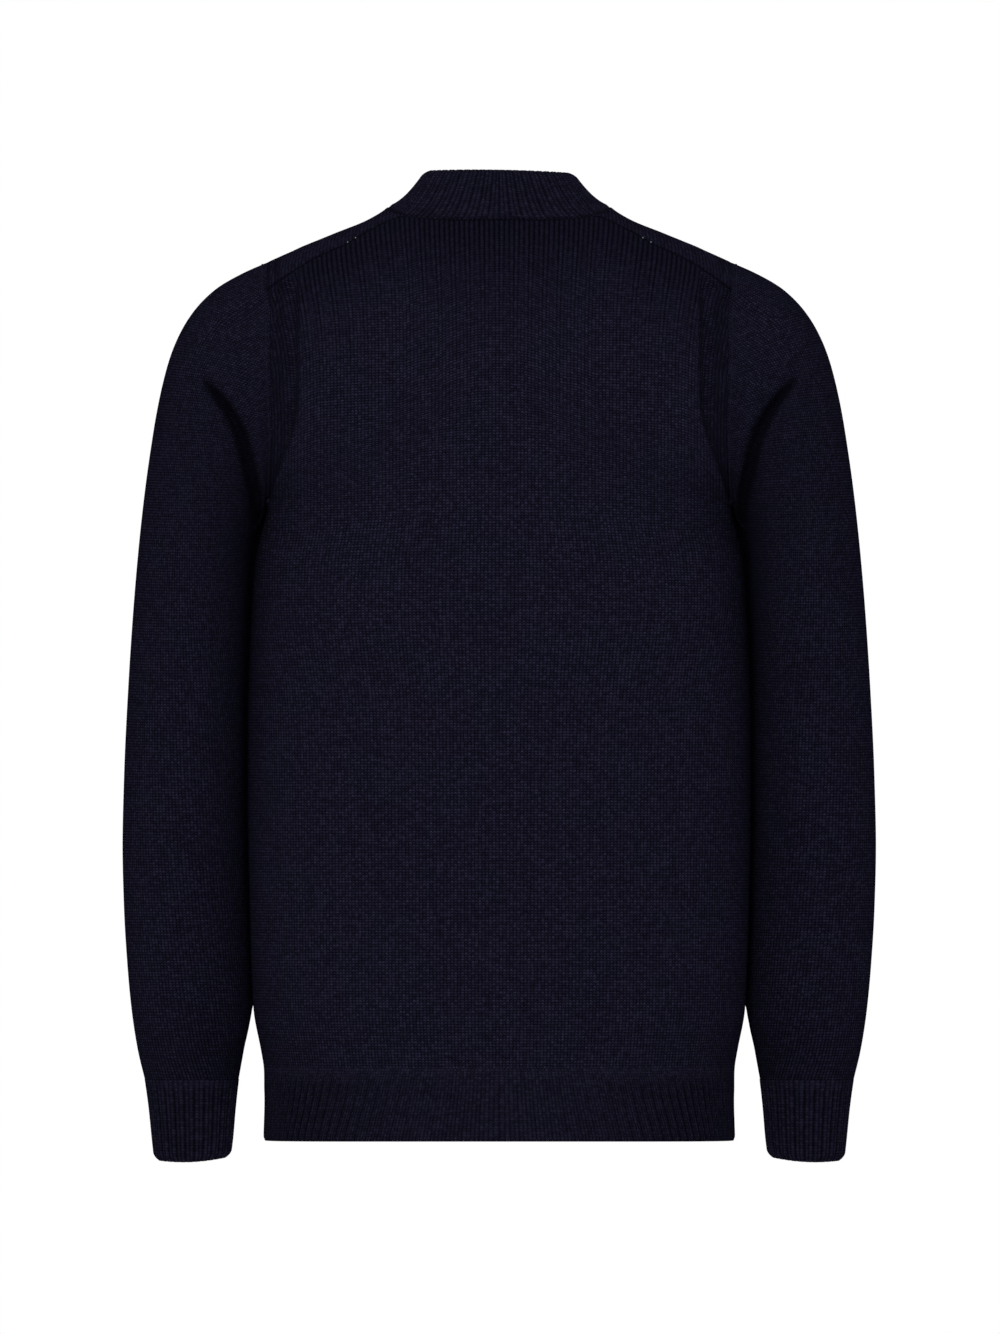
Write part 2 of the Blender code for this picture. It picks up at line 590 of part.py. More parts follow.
def build_sweater():
    for thing in list(bpy.data.objects):
        bpy.data.objects.remove(thing)
    plain = knit_look("plain_knit", (0.0075, 0.0070, 0.0135), 0.85)
    ribs = knit_look("rib_knit", (0.0065, 0.0060, 0.0115), 0.88)

    shoulder = [shoulder_point(x) for x in SHOULDER_LINES]
    back_neck_turns = [360 * rib / COLLAR_RIBS for rib in BACK_NECK_RIBS]
    front_neck_turns = [360 * rib / COLLAR_RIBS for rib in FRONT_NECK_RIBS]
    back_neck = [neck_point(turn) for turn in back_neck_turns]
    front_neck = [neck_point(turn) for turn in front_neck_turns]
    back_tops, front_tops = back_neck + shoulder, front_neck + shoulder
    back_leads = [top[0] for top in back_tops]
    front_leads = [top[0] for top in front_tops]
    front_leads[-len(FRONT_LAST_LEADS) :] = FRONT_LAST_LEADS
    back, back_normals = half_panel(1, back_tops, back_leads, BACK_LOW_TURNS, BACK_ARMHOLE_ROWS)
    front, front_normals = half_panel(-1, front_tops, front_leads, FRONT_LOW_TURNS, FRONT_ARMHOLE_ROWS)
    front[-1, len(front_neck) - 1 :] = back[-1, len(back_neck) - 1 :]
    front_normals[-1, len(front_neck) - 1 :] = back_normals[-1, len(back_neck) - 1 :]

    first = len(LOW_ROWS) - 1
    armhole = np.concatenate([back[first:, -1], front[-2:first:-1, -1]])
    armhole_normals = np.concatenate([back_normals[first:, -1], front_normals[-2:first:-1, -1]])
    sleeve, sleeve_normals = sleeve_grid(armhole)
    seam_inward = mitre(armhole_normals, sleeve_normals[0], PLAIN_WALL)
    sleeve_inner = sleeve - PLAIN_WALL * sleeve_normals
    sleeve_inner[0] = armhole + seam_inward
    sleeve_inner[-1, :, 2] = sleeve[-1, :, 2]
    back_inner = back - PLAIN_WALL * back_normals
    front_inner = front - PLAIN_WALL * front_normals
    back_inner[first:, -1] = sleeve_inner[0][: BACK_ARMHOLE_ROWS + 1]
    front_inner[-1:first:-1, -1] = sleeve_inner[0][BACK_ARMHOLE_ROWS:]
    front_inner[first, -1] = sleeve_inner[0][0]

    half_turns = np.array([*back_neck_turns, *front_neck_turns[-2::-1]])
    back_edge, front_edge = back[-1, : len(back_neck)], front[-1, : len(front_neck) - 1][::-1]
    half_outer = np.concatenate([back_edge, front_edge])
    back_edge, front_edge = back_normals[-1, : len(back_neck)], front_normals[-1, : len(front_neck) - 1][::-1]
    half_normals = np.concatenate([back_edge, front_edge])
    neck_turns = np.concatenate([half_turns, 360 - half_turns[-2::-1]])
    neck_outer = np.concatenate([half_outer, (half_outer * OTHER_SIDE)[-2::-1]])
    neck_normals = np.concatenate([half_normals, (half_normals * OTHER_SIDE)[-2::-1]])
    above = collar_ring(neck_turns, neck_outer, COLLAR_SHARES[1])
    rings = np.array([neck_outer, above])[:, :-1]
    collar_normals = grid_normals(rings, np.array([[0.0, 0.0, points[:, 2].mean()] for points in rings]))[0]
    collar_normals = np.concatenate([collar_normals, collar_normals[:1]])
    neck_inner = neck_outer + mitre(neck_normals, collar_normals, PLAIN_WALL)
    back_inner[-1, : len(back_neck)] = neck_inner[: len(back_neck)]
    front_count = len(front_neck)
    front_inner[-1, :front_count] = neck_inner[len(back_neck) - 1 : len(half_turns)][::-1]

    panel_object("back_panel", 1, back, back_inner, len(back_neck) - 1, plain)
    panel_object("front_panel", -1, front, front_inner, len(front_neck) - 1, plain)
    hem_object("hem_rib_back", 1, ribs)
    hem_object("hem_rib_front", -1, ribs)
    pull_back(sleeve[0], sleeve_inner[0], (1, 0, 0), closed=True)
    sleeve[-1, :, 2] += SEAM_GAP / 2
    sleeve_inner[-1, :, 2] += SEAM_GAP / 2
    for side, mirrored in (("left", False), ("right", True)):
        wall_object(f"sleeve_{side}", sleeve, sleeve_inner, True, plain, mirrored)
        cuff_object(f"cuff_{side}", ribs, mirrored)
    collar_object("collar_rib", neck_turns, neck_outer, neck_inner, ribs)


build_sweater()
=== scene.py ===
# %% [markdown]
# # A high neck sweater
# This sweater is knitted in five pieces: a back and a front that start with a ribbed hem, two sleeves that start
# with a ribbed cuff, and a collar. They are linked edge to edge. The solids in the frame already give each piece its
# true place, but they are coarse. This lesson lays a fine sheet of cloth over each of them, gives the sheets a wall,
# and lets a material knit the stitches.
#
# The frame comes first, because every sheet is measured against it.

# %% Load the frame
import math

import bmesh
import bpy
import numpy as np
from mathutils import Matrix, Vector


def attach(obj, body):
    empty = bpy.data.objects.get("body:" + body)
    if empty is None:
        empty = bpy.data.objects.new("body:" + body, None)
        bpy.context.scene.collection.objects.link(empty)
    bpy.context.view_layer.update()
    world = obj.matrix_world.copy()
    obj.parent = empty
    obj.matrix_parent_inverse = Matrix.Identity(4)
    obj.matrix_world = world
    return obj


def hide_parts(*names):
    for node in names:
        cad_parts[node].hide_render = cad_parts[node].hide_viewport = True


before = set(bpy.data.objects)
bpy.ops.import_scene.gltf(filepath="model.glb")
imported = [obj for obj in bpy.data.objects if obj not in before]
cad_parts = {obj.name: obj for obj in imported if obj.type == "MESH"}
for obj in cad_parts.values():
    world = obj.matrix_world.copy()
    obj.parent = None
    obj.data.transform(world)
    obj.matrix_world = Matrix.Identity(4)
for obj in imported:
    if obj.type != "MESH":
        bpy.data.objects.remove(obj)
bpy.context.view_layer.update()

# %% [markdown]
# ## A few helpers
# Every piece becomes an object in the same way, and every material is a tree of nodes that feed each other. Short
# functions do both, so that the later cells can keep to what is special about their piece.

# %% Make objects, nodes and materials
def add_object(name, data):
    added = bpy.data.objects.new(name, data)
    bpy.context.scene.collection.objects.link(added)
    return added


def add_mesh(name, shape):
    """An object made from a bmesh, which is then let go."""
    mesh = bpy.data.meshes.new(name)
    shape.to_mesh(mesh)
    shape.free()
    return add_object(name, mesh)


def feed(tree, node, values):
    """Links sockets to a node's inputs, and sets plain values on them."""
    for name, value in values.items():
        if isinstance(value, bpy.types.NodeSocket):
            tree.links.new(value, node.inputs[name])
        else:
            node.inputs[name].default_value = value


def add_node(tree, kind, values, **settings):
    node = tree.nodes.new(kind)
    for name, value in settings.items():
        setattr(node, name, value)
    feed(tree, node, values)
    return node


def add_material(name, values):
    """A material and its shader, with some of the shader's inputs set."""
    material = bpy.data.materials.new(name)
    material.use_nodes = True
    shader = material.node_tree.nodes["Principled BSDF"]
    feed(material.node_tree, shader, values)
    return material, shader


# %% [markdown]
# ## The camera
# The picture shows the back, straight on and level, with a long lens: the shoulders and the hem are seen from one
# height. So the camera stands far behind the sweater and a very long lens brings it near. The lens follows from
# two sizes, the width of the view and the distance, so either can be changed without a guess.

# %% Place the camera
VIEW_WIDTH = 0.75  # of the world, at the middle of the sweater
VIEW_DISTANCE = 20.0
VIEW_HEIGHT = -0.3405
VIEW_OFF_MIDDLE = -0.00056
SENSOR_WIDTH = 36.0

camera = bpy.data.cameras.new("camera")
camera.sensor_fit = "HORIZONTAL"
camera.sensor_width = SENSOR_WIDTH
camera.lens = SENSOR_WIDTH * VIEW_DISTANCE / VIEW_WIDTH
camera.clip_end = 10 * VIEW_DISTANCE
camera_object = add_object("camera", camera)
camera_object.location = (VIEW_OFF_MIDDLE, VIEW_DISTANCE, VIEW_HEIGHT)
camera_object.rotation_euler = (math.pi / 2, 0.0, math.pi)
bpy.context.scene.camera = camera_object
print("a lens of", round(camera.lens), "mm")

# %% [markdown]
# ## Floor and light
# A dark sweater on white is lit from all around. The horizon of the room is white, which gives the background, and
# it dims above and below, so that the cloth isn't lit evenly from everywhere and keeps its roundness. Two large
# soft lamps stand before and behind the sweater, because both of its sides are looked at, and a weaker one hangs
# above it for the shoulders. The floor is a round plate that lies below the level camera's view, up to its far edge.

# %% Lay the floor
FLOOR_HEIGHT, FLOOR_RADIUS, FLOOR_SIDES = -1.02, 5.0, 96

floor_shape = bmesh.new()
bmesh.ops.create_circle(floor_shape, cap_ends=True, segments=FLOOR_SIDES, radius=FLOOR_RADIUS)
bmesh.ops.translate(floor_shape, verts=floor_shape.verts, vec=(0, 0, FLOOR_HEIGHT))
floor = add_mesh("floor", floor_shape)
PALE_MATT = {"Base Color": (0.85, 0.85, 0.85, 1.0), "Roughness": 1.0, "Specular IOR Level": 0.0}
floor.data.materials.append(add_material("pale_floor", PALE_MATT)[0])
print("a floor", 2 * FLOOR_RADIUS, "m wide")

# %% Light the room
HORIZON, DOME = 1.0, 0.27  # brightness of the room at eye level, and above and below
HORIZON_EDGES = (0.06, 0.30)  # sines of the angles between which it dims
LAMPS = (
    # name, place, size, power
    ("back_key", (0.3, 4.4, 0.7), 1.6, 168.0),
    ("front_key", (-0.3, -4.4, 0.7), 1.6, 168.0),
    ("top", (0.0, 0.3, 3.2), 2.0, 50.0),
)
bpy.context.scene.view_settings.view_transform = "Standard"
world = bpy.data.worlds.new("white_room")
world.use_nodes = True
room = world.node_tree
looking = add_node(room, "ShaderNodeTexCoord", {}).outputs["Generated"]
upwards = add_node(room, "ShaderNodeSeparateXYZ", {"Vector": looking}).outputs["Z"]
slope = add_node(room, "ShaderNodeMath", {0: upwards}, operation="ABSOLUTE").outputs[0]
names = ("Value", "From Min", "From Max", "To Min", "To Max")
dimming = dict(zip(names, (slope, *HORIZON_EDGES, HORIZON, DOME)))
strength = add_node(room, "ShaderNodeMapRange", dimming, interpolation_type="SMOOTHSTEP").outputs["Result"]
feed(room, room.nodes["Background"], {"Strength": strength, "Color": (1.0, 1.0, 1.0, 1.0)})
bpy.context.scene.world = world
for name, place, size, power in LAMPS:
    lamp = bpy.data.lights.new(name, "AREA")
    lamp.size = size
    lamp.energy = power
    lamp_object = add_object(name, lamp)
    lamp_object.location = place
    lamp_object.rotation_euler = (Vector((0.0, 0.0, VIEW_HEIGHT)) - Vector(place)).to_track_quat("-Z", "Y").to_euler()
print("a white horizon and", len(LAMPS), "lamps")

# %% [markdown]
# ## Reading sizes from short tables
# The body isn't a tube. Its level sections grow and shrink from the hem to the neck. A short table with one row for
# each section says how, and a curve through the rows gives every height between them. The curve never overshoots,
# so the cloth gets no bulge that the table doesn't ask for.

# %% Read a table along smooth curves
FINE_STEPS = 3000


def smooth_between(keys, values, wanted):
    """Values at the wanted keys, on a curve through the given ones that never goes past them."""
    tail = (1,) * (values.ndim - 1)
    steps = np.diff(keys).reshape(-1, *tail)
    rises = np.diff(values, axis=0) / steps
    before, after = rises[:-1], rises[1:]
    same_way = before * after > 0
    middle = np.where(same_way, 2 * before * after / np.where(same_way, before + after, 1), 0)
    slopes = np.concatenate([rises[:1], middle, rises[-1:]])
    i = np.clip(np.searchsorted(keys, wanted) - 1, 0, len(keys) - 2)
    t = (wanted - keys[i]).reshape(-1, *tail) / steps[i]
    start = (1 + 2 * t) * (1 - t) ** 2 * values[i] + t * (1 - t) ** 2 * steps[i] * slopes[i]
    end = t**2 * (3 - 2 * t) * values[i + 1] + t**2 * (t - 1) * steps[i] * slopes[i + 1]
    return start + end


class Sizes:
    """A table with named columns, read between its rows. The first column is the key."""

    def __init__(self, columns, *rows):
        rows = np.array(sorted(rows))
        self.keys = np.linspace(rows[0, 0], rows[-1, 0], FINE_STEPS)
        fine = smooth_between(rows[:, 0], rows, self.keys)
        self.values = dict(zip(columns.split(), fine.T))

    def at(self, name, key):
        return np.interp(key, self.keys, self.values[name])


def ease(share):
    """A smooth step from 0 to 1."""
    share = np.clip(share, 0.0, 1.0)
    return share * share * (3 - 2 * share)


def bell(distance, width):
    """1 at no distance, and nearly 0 from twice the width on."""
    return np.exp(-((distance / width) ** 2))


def rounded(wave, roundness):
    """A sine or cosine for an oval of the given roundness."""
    return np.sign(wave) * np.abs(wave) ** (2 / roundness)


def unit(vectors):
    return vectors / np.linalg.norm(vectors, axis=-1, keepdims=True)


# %% Tables of the body
HEM_TOP, HEM_END, UNDERARM = -0.640, -0.6945, -0.220
ROUNDNESS = 2.25  # of the body's level sections, where 2 is an ellipse and more is squarer
TORSO = Sizes(
    "height half_width side_y back_y front_y",
    (0.025, 0.068, 0.0, 0.03, -0.012),
    (0.0043, 0.084, 0.0, 0.05, -0.026),
    (-0.005, 0.0985, 0.0, 0.0645, -0.035),
    (-0.015, 0.123, -0.001, 0.07, -0.045),
    (-0.028, 0.1545, -0.001, 0.0765, -0.056),
    (-0.042, 0.186, -0.002, 0.082, -0.066),
    (-0.056, 0.212, -0.003, 0.087, -0.0765),
    (-0.08, 0.236, -0.004, 0.0955, -0.092),
    (-0.12, 0.25, -0.005, 0.106, -0.111),
    (-0.16, 0.22, -0.007, 0.1115, -0.124),
    (-0.185, 0.198, -0.009, 0.113, -0.129),
    (-0.205, 0.1815, -0.01, 0.1135, -0.1305),
    (UNDERARM, 0.174, -0.01, 0.113, -0.131),
    (-0.238, 0.178, -0.01, 0.112, -0.1305),
    (-0.26, 0.183, -0.01, 0.11, -0.1295),
    (-0.32, 0.187, -0.01, 0.1035, -0.126),
    (-0.38, 0.1888, -0.01, 0.0985, -0.123),
    (-0.44, 0.1888, -0.01, 0.0965, -0.1205),
    (-0.51, 0.1876, -0.01, 0.0985, -0.1195),
    (-0.596, 0.1845, -0.01, 0.103, -0.1195),
    (-0.628, 0.1788, -0.01, 0.1035, -0.117),
    (HEM_TOP, 0.1768, -0.01, 0.1025, -0.1145),
    (-0.665, 0.175, -0.01, 0.0995, -0.11),
    (HEM_END, 0.1758, -0.01, 0.101, -0.1115),
)
SHOULDER_SEAM = Sizes(
    "out height",
    (0.07, -0.0014),
    (0.0755, -0.0028),
    (0.0918, -0.0102),
    (0.113, -0.0224),
    (0.1406, -0.0355),
    (0.157, -0.0458),
    (0.174, -0.0582),
)
print("the chest is", round(2 * TORSO.at("half_width", -0.38), 3), "m wide")

# %% [markdown]
# ## The rounded form under the cloth
# Every level section is a rounded oval with its own depth at the back and at the front. Instead of making points
# on each section by hand, we ask of any point in space whether it lies inside this form. A straight line that
# starts inside then leaves the form at exactly one place, and that place is a point of the cloth. Working on whole
# arrays of lines at once keeps this quick.

# %% Find points on the form
HUB_Y, HUB_HEIGHT = -0.005, -0.128  # lines fan out from this level line, which runs from side to side
STRIDE, STRIDES, HALVINGS = 0.004, 70, 14
SLOPE_STEP = 0.0002


def depth_at(facing, z):
    """How far the back (facing 1) or the front (facing -1) stands from the line of the side seams."""
    return facing * (TORSO.at("back_y" if facing > 0 else "front_y", z) - TORSO.at("side_y", z))


def form_level(points):
    """Below 1 inside the form, and 1 on its skin."""
    x, y, z = np.moveaxis(points, -1, 0)
    away = y - TORSO.at("side_y", z)
    depth = np.where(away > 0, depth_at(1, z), depth_at(-1, z))
    return np.abs(x / TORSO.at("half_width", z)) ** ROUNDNESS + np.abs(away / depth) ** ROUNDNESS


def form_normals(points):
    steps = SLOPE_STEP * np.eye(3)
    return unit(np.stack([form_level(points + step) - form_level(points - step) for step in steps], axis=-1))


def skin_from(starts, ways, lowest=-1.0):
    """Where straight lines from inside the form first leave it, or come down to the lowest height."""

    def is_inside(reach):
        points = starts + reach[..., None] * ways
        return (form_level(points) < 1) & (points[..., 2] > lowest)

    reach = np.zeros(starts.shape[:-1])
    inside = np.ones(reach.shape, bool)
    for _ in range(STRIDES):
        inside &= is_inside(reach + STRIDE)
        reach += STRIDE * inside
    stride = STRIDE
    for _ in range(HALVINGS):
        stride /= 2
        reach += stride * is_inside(reach + stride)
    return starts + reach[..., None] * ways


def section_points(facing, turns, z):
    """Points on level sections, from 0 degrees in the middle of the panel to 90 at the side seam."""
    angles = np.radians(turns)
    across, away = rounded(np.sin(angles), ROUNDNESS), rounded(np.cos(angles), ROUNDNESS)
    y = TORSO.at("side_y", z) + facing * away * depth_at(facing, z)
    return np.stack([across * TORSO.at("half_width", z), y, z], axis=-1)


# %% The neckline and the shoulder seam lie on the form
NECK_HALF_WIDTH, NECK_BACK, NECK_FRONT = 0.084, 0.0645, 0.066
NECK_BACK_ROUNDNESS, NECK_FRONT_ROUNDNESS = 2.6, 2.2


def neck_points(turns):
    """The neckline: 0 degrees is the middle of the back, 90 the left side and 180 the front."""
    angles = np.radians(turns)
    at_back = np.cos(angles) >= 0
    roundness = np.where(at_back, NECK_BACK_ROUNDNESS, NECK_FRONT_ROUNDNESS)
    x = NECK_HALF_WIDTH * rounded(np.sin(angles), roundness)
    y = np.where(at_back, NECK_BACK, NECK_FRONT) * rounded(np.cos(angles), roundness)
    starts = np.stack([x, y, np.full_like(x, HUB_HEIGHT)], axis=-1)
    return skin_from(starts, np.array([0.0, 0.0, 1.0]))


def shoulder_points(x):
    z = SHOULDER_SEAM.at("height", x)
    away = (1 - (x / TORSO.at("half_width", z)) ** ROUNDNESS) ** (1 / ROUNDNESS)
    return np.stack([x, TORSO.at("side_y", z) + away * depth_at(1, z), z], axis=-1)


print("the neckline's lowest point, in the middle of the front, is", neck_points(np.array([180.0]))[0].round(4))

# %% [markdown]
# ## The yarn and its stitches
# Plain knit is made of columns of small V shapes, called wales, and each row of them is a course. Modelling each V
# would take millions of faces, so the material does it. The cloth carries a UV map that counts stitches: one unit
# across is a wale and one unit up is a course. Inside each unit a few Math nodes draw the two leaning strands of
# the V. Their height feeds the bump, and it also paints shade into the gaps between strands, which real wool shades
# by itself. A mark on the cloth paints more shade into rib valleys, seams and folds.
#
# The yarn is a navy close to black, a little uneven, with a soft nap. Its gloss is set very low, because at this
# darkness even a faint white reflection would wash the colour out.

# %% Small helpers for node trees
WALE, COURSE = 0.00266, 0.00207  # one stitch's width and height in the plain knit
STITCH_MAP = "stitches"
DRAWN = "drawn"  # how strongly the wales are drawn apart at a point
PAINTED_SHADE = "sunk_or_shade"  # painted shade: how far down in a valley or a seam a point lies, which sets how much darker it is painted
MIX_FIRST, MIX_SECOND, MIX_RESULT = 6, 7, 2  # places of a Mix node's colours among its sockets


def worked_out(tree, operation, *values):
    """The result of a Math node that is fed with sockets or plain numbers."""
    return add_node(tree, "ShaderNodeMath", dict(enumerate(values)), operation=operation).outputs[0]


def noise(tree, scale, detail=2.0):
    """A soft random value, with about so many changes to a metre."""
    place = add_node(tree, "ShaderNodeTexCoord", {}).outputs["Object"]
    values = {"Scale": scale, "Detail": detail, "Vector": place}
    return add_node(tree, "ShaderNodeTexNoise", values).outputs["Fac"]


def blended(tree, share, first, second):
    """A colour between two."""
    values = {0: share, MIX_FIRST: (*first, 1.0), MIX_SECOND: (*second, 1.0)}
    return add_node(tree, "ShaderNodeMix", values, data_type="RGBA").outputs[MIX_RESULT]


# %% Knit a material
STRAND_LEAN = 0.35  # how many courses a strand climbs from the middle of its stitch to the edge
STRAND_POWER, STITCH_POWER, COLUMN_POWER = 1.1, 0.8, 1.3  # more makes a strand, a stitch or a column narrower
COLUMN_COURSES = 0.2  # how much the courses show on columns that are pulled apart
WIDE_COLUMNS_FROM = 150  # courses up, from where the columns that are pulled apart stand further from each other
MOTTLE_SCALE, MOTTLE_DETAIL = 26.0, 3.0  # of the slow changes in the dye, per metre
YARN_SCALE, YARN_DETAIL, YARN_SHARE = 420.0, 1.0, (0.2, 0.9)  # of thick and thin places in the yarn
FUZZ_SCALE, FUZZ_DETAIL, FUZZ_SHARE, FUZZ_RELIEF = 1300.0, 0.0, (0.7, 0.65), 0.2  # of the single fibres
CHANCE_POWER, CHANCE_MEAN, CHANCE_SHARE = 1.6, 0.38, 0.7  # most stitches are darker than the mean, a few much lighter
DEEPEST_PAINTED_SHADE = 0.62  # how much darker painted shade makes the bottom of a valley
DRAWN_GAP = 0.65  # how much darker the painted shade of the gaps is where the columns are pulled apart
DRAWN_EVENNESS = 0.45  # how much more even the yarn looks there
LEVEL_SPREAD = (2.4, -0.7)  # stretches the noise's middle range to the whole range
MATT_YARN = {
    "Roughness": 0.95,
    "Specular IOR Level": 0.0,
    "Sheen Weight": 0.0060,
    "Sheen Roughness": 0.6,
    "Sheen Tint": (0.55, 0.6, 1.0, 1.0),
}


def knit_material(name, navy, violet, gap_shade, height, column_share, column_light):
    """Knit cloth that counts its stitches on the STITCH_MAP."""
    material, shader = add_material(name, MATT_YARN)
    tree = material.node_tree

    def math_node(operation, *values):
        return worked_out(tree, operation, *values)

    def scaled(value, gain, start):
        return math_node("MULTIPLY_ADD", value, gain, start)

    def attribute(mark):
        return add_node(tree, "ShaderNodeAttribute", {}, attribute_name=mark).outputs["Fac"]

    def level(scale, detail):
        wide = scaled(noise(tree, scale, detail), *LEVEL_SPREAD)
        return math_node("MINIMUM", math_node("MAXIMUM", wide, 0.0), 1.0)

    def chance(across, along):
        """A random value for each whole count across and along."""
        counts = {"X": math_node("FLOOR", across), "Y": math_node("FLOOR", along)}
        cell = add_node(tree, "ShaderNodeCombineXYZ", counts).outputs["Vector"]
        return add_node(tree, "ShaderNodeTexWhiteNoise", {"Vector": cell}, noise_dimensions="2D").outputs["Value"]

    def from_middle(count):
        return math_node("ABSOLUTE", math_node("SUBTRACT", math_node("FRACT", count), 0.5))

    def narrowed(wave, power):
        return math_node("POWER", math_node("MAXIMUM", wave, 0.0), power)

    def hump(distance, power):
        """1 in the middle of a column of stitches and 0 between two columns."""
        return narrowed(math_node("COSINE", math_node("MULTIPLY", distance, math.pi)), power)

    stitches = add_node(tree, "ShaderNodeUVMap", {}, uv_map=STITCH_MAP).outputs["UV"]
    wale, course = add_node(tree, "ShaderNodeSeparateXYZ", {"Vector": stitches}).outputs[:2]
    off_middle = from_middle(wale)
    climb = scaled(off_middle, 2 * STRAND_LEAN, course)
    wave = math_node("SINE", math_node("MULTIPLY", math_node("FRACT", climb), math.pi))
    strand = narrowed(wave, STRAND_POWER)
    stitch = math_node("MULTIPLY", hump(off_middle, STITCH_POWER), strand)
    wider = math_node("GREATER_THAN", course, WIDE_COLUMNS_FROM)
    share = scaled(wider, column_share - 1.0, 1.0)
    column = hump(from_middle(math_node("MULTIPLY", wale, share)), COLUMN_POWER)
    column = math_node("MULTIPLY", column, scaled(strand, COLUMN_COURSES, column_light))
    drawn = attribute(DRAWN)
    relief = scaled(drawn, math_node("SUBTRACT", column, stitch), stitch)

    colour = blended(tree, level(MOTTLE_SCALE, MOTTLE_DETAIL), violet, navy)
    # painted shade in the gaps between strands, darker between columns that are pulled apart
    gap = scaled(drawn, -DRAWN_GAP * gap_shade, gap_shade)
    shade = scaled(relief, 1.0 - gap_shade, gap)
    by_stitch = math_node("POWER", chance(wale, climb), CHANCE_POWER)
    uneven = scaled(math_node("SUBTRACT", by_stitch, CHANCE_MEAN), CHANCE_SHARE, 1.0)
    yarn, fibres = level(YARN_SCALE, YARN_DETAIL), level(FUZZ_SCALE, FUZZ_DETAIL)
    for share in (scaled(yarn, *YARN_SHARE), scaled(fibres, *FUZZ_SHARE)):
        uneven = math_node("MULTIPLY", uneven, share)
    uneven = scaled(math_node("SUBTRACT", uneven, 1.0), scaled(drawn, -DRAWN_EVENNESS, 1.0), 1.0)
    # painted shade from the mark, in rib valleys, seams, folds and on the sleeves' side towards the body
    for share in (uneven, scaled(attribute(PAINTED_SHADE), -DEEPEST_PAINTED_SHADE, 1.0)):
        shade = math_node("MULTIPLY", shade, share)
    dark = add_node(tree, "ShaderNodeVectorMath", {0: colour, "Scale": shade}, operation="SCALE")
    bumps = {"Strength": 1.0, "Distance": height, "Height": scaled(fibres, FUZZ_RELIEF, relief)}
    bump = add_node(tree, "ShaderNodeBump", bumps)
    feed(tree, shader, {"Base Color": dark.outputs["Vector"], "Normal": bump.outputs["Normal"]})
    return material


plain_knit = knit_material(
    "plain_knit",
    navy=(0.0112, 0.0114, 0.0250),
    violet=(0.0132, 0.0106, 0.0236),
    gap_shade=0.17,
    height=0.0010,
    column_share=0.76,
    column_light=0.28,
)
rib_knit = knit_material(
    "rib_knit",
    navy=(0.0097, 0.0096, 0.0208),
    violet=(0.0112, 0.0092, 0.0197),
    gap_shade=0.36,
    height=0.0008,
    column_share=1.0,
    column_light=0.52,
)
print("materials:", plain_knit.name, rib_knit.name)

# %% [markdown]
# ## From a flat grid to a worn sheet
# A sheet of cloth begins as a flat grid. Its shape is then a rule that says where the point goes that lies a given
# share across and a given share up. The rule works out all rows and columns at once, and the grid's own points are
# moved there, so Blender keeps making the faces. The same step writes the stitch counts to the UV map.
#
# The sheet is one face thick. A Solidify modifier gives it a wall on the inside, so the outer side stays exactly
# where the rule puts it.

# %% Lay a grid of cloth
KNITS = {
    # slot: material, wall, how it is held
    "plain_knit": (plain_knit, 0.0025, "draped"),
    "rib_knit": (rib_knit, 0.0020, "stretched"),
}
SAME_PLACE = 1e-5  # where a closed sheet's last column meets its first


def lay_cloth(name, points, wales, courses, drawn, sunk_or_shade, closed=False):
    """A sheet from an array of rows and columns of points, with its stitches counted on a UV map."""
    rows, columns = points.shape[:2]
    bm = bmesh.new()
    bmesh.ops.create_grid(bm, x_segments=columns - 1, y_segments=rows - 1, size=0.5)
    shares = np.array([vert.co[:2] for vert in bm.verts]) + 0.5
    column, row = np.rint(shares * (columns - 1, rows - 1)).astype(int).T
    wales, courses, drawn, sunk_or_shade = (
        np.broadcast_to(grid, (rows, columns))[row, column] for grid in (wales, courses, drawn, sunk_or_shade)
    )
    # the second mark is painted shade
    layers = [bm.verts.layers.float.new(mark) for mark in (DRAWN, PAINTED_SHADE)]
    for vert, point, *marks in zip(bm.verts, points[row, column], drawn, sunk_or_shade):
        vert.co = point
        for layer, value in zip(layers, marks):
            vert[layer] = value
    stitch_layer = bm.loops.layers.uv.new(STITCH_MAP)
    for face in bm.faces:
        for corner in face.loops:
            corner[stitch_layer].uv = (wales[corner.vert.index], courses[corner.vert.index])
    if closed:
        bmesh.ops.remove_doubles(bm, verts=bm.verts, dist=SAME_PLACE)
    for face in bm.faces:
        face.smooth = True
    for edge in bm.edges:
        edge.smooth = not edge.is_boundary  # the wall's rim would darken a smooth edge
    return add_mesh(name, bm)


def dress(cloth, spine, node, slot):
    """Gives a sheet its wall and yarn, hangs it on the root body and hides the solid that it stands for.

    Its faces look away from the spine, an array of points inside the piece.
    """
    mesh = cloth.data
    material, thickness, held = KNITS[slot]
    inward = 0
    for face in mesh.polygons:
        nearest = spine[np.argmin(np.linalg.norm(spine - np.array(face.center), axis=1))]
        inward += face.normal.dot(face.center - Vector(nearest)) < 0
    if inward > len(mesh.polygons) / 2:
        mesh.flip_normals()
    wall = cloth.modifiers.new("wall", "SOLIDIFY")
    wall.thickness = thickness
    wall.offset = -1.0
    wall.use_even_offset = False
    mesh.materials.append(material)
    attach(cloth, "root")
    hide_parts(node)
    print(cloth.name, "has", len(mesh.polygons), "faces")


def arcs(points, axis):
    """Lengths along the rows (axis 1) or the columns (axis 0) of a grid, from its start."""
    steps = np.linalg.norm(np.diff(points, axis=axis), axis=-1)
    start = np.zeros_like(steps[:, :1] if axis == 1 else steps[:1])
    return np.concatenate([start, np.cumsum(steps, axis=axis)], axis=axis)


# %% [markdown]
# ## The back and the front
# Both panels hang on the same form. Below the underarm their rows are level. Above it the rows would bunch up at
# the armhole, so they fan round a line through the shoulders instead, and end at the shoulder seam and the
# neckline. A half panel is worked out and mirrored.
#
# The photographed back stands in a crisp upright fold before each armhole: the cloth rises to a ridge, drops
# behind it and lies back as far as the seam. The fold is a table too, with the ridge's place and its strength.

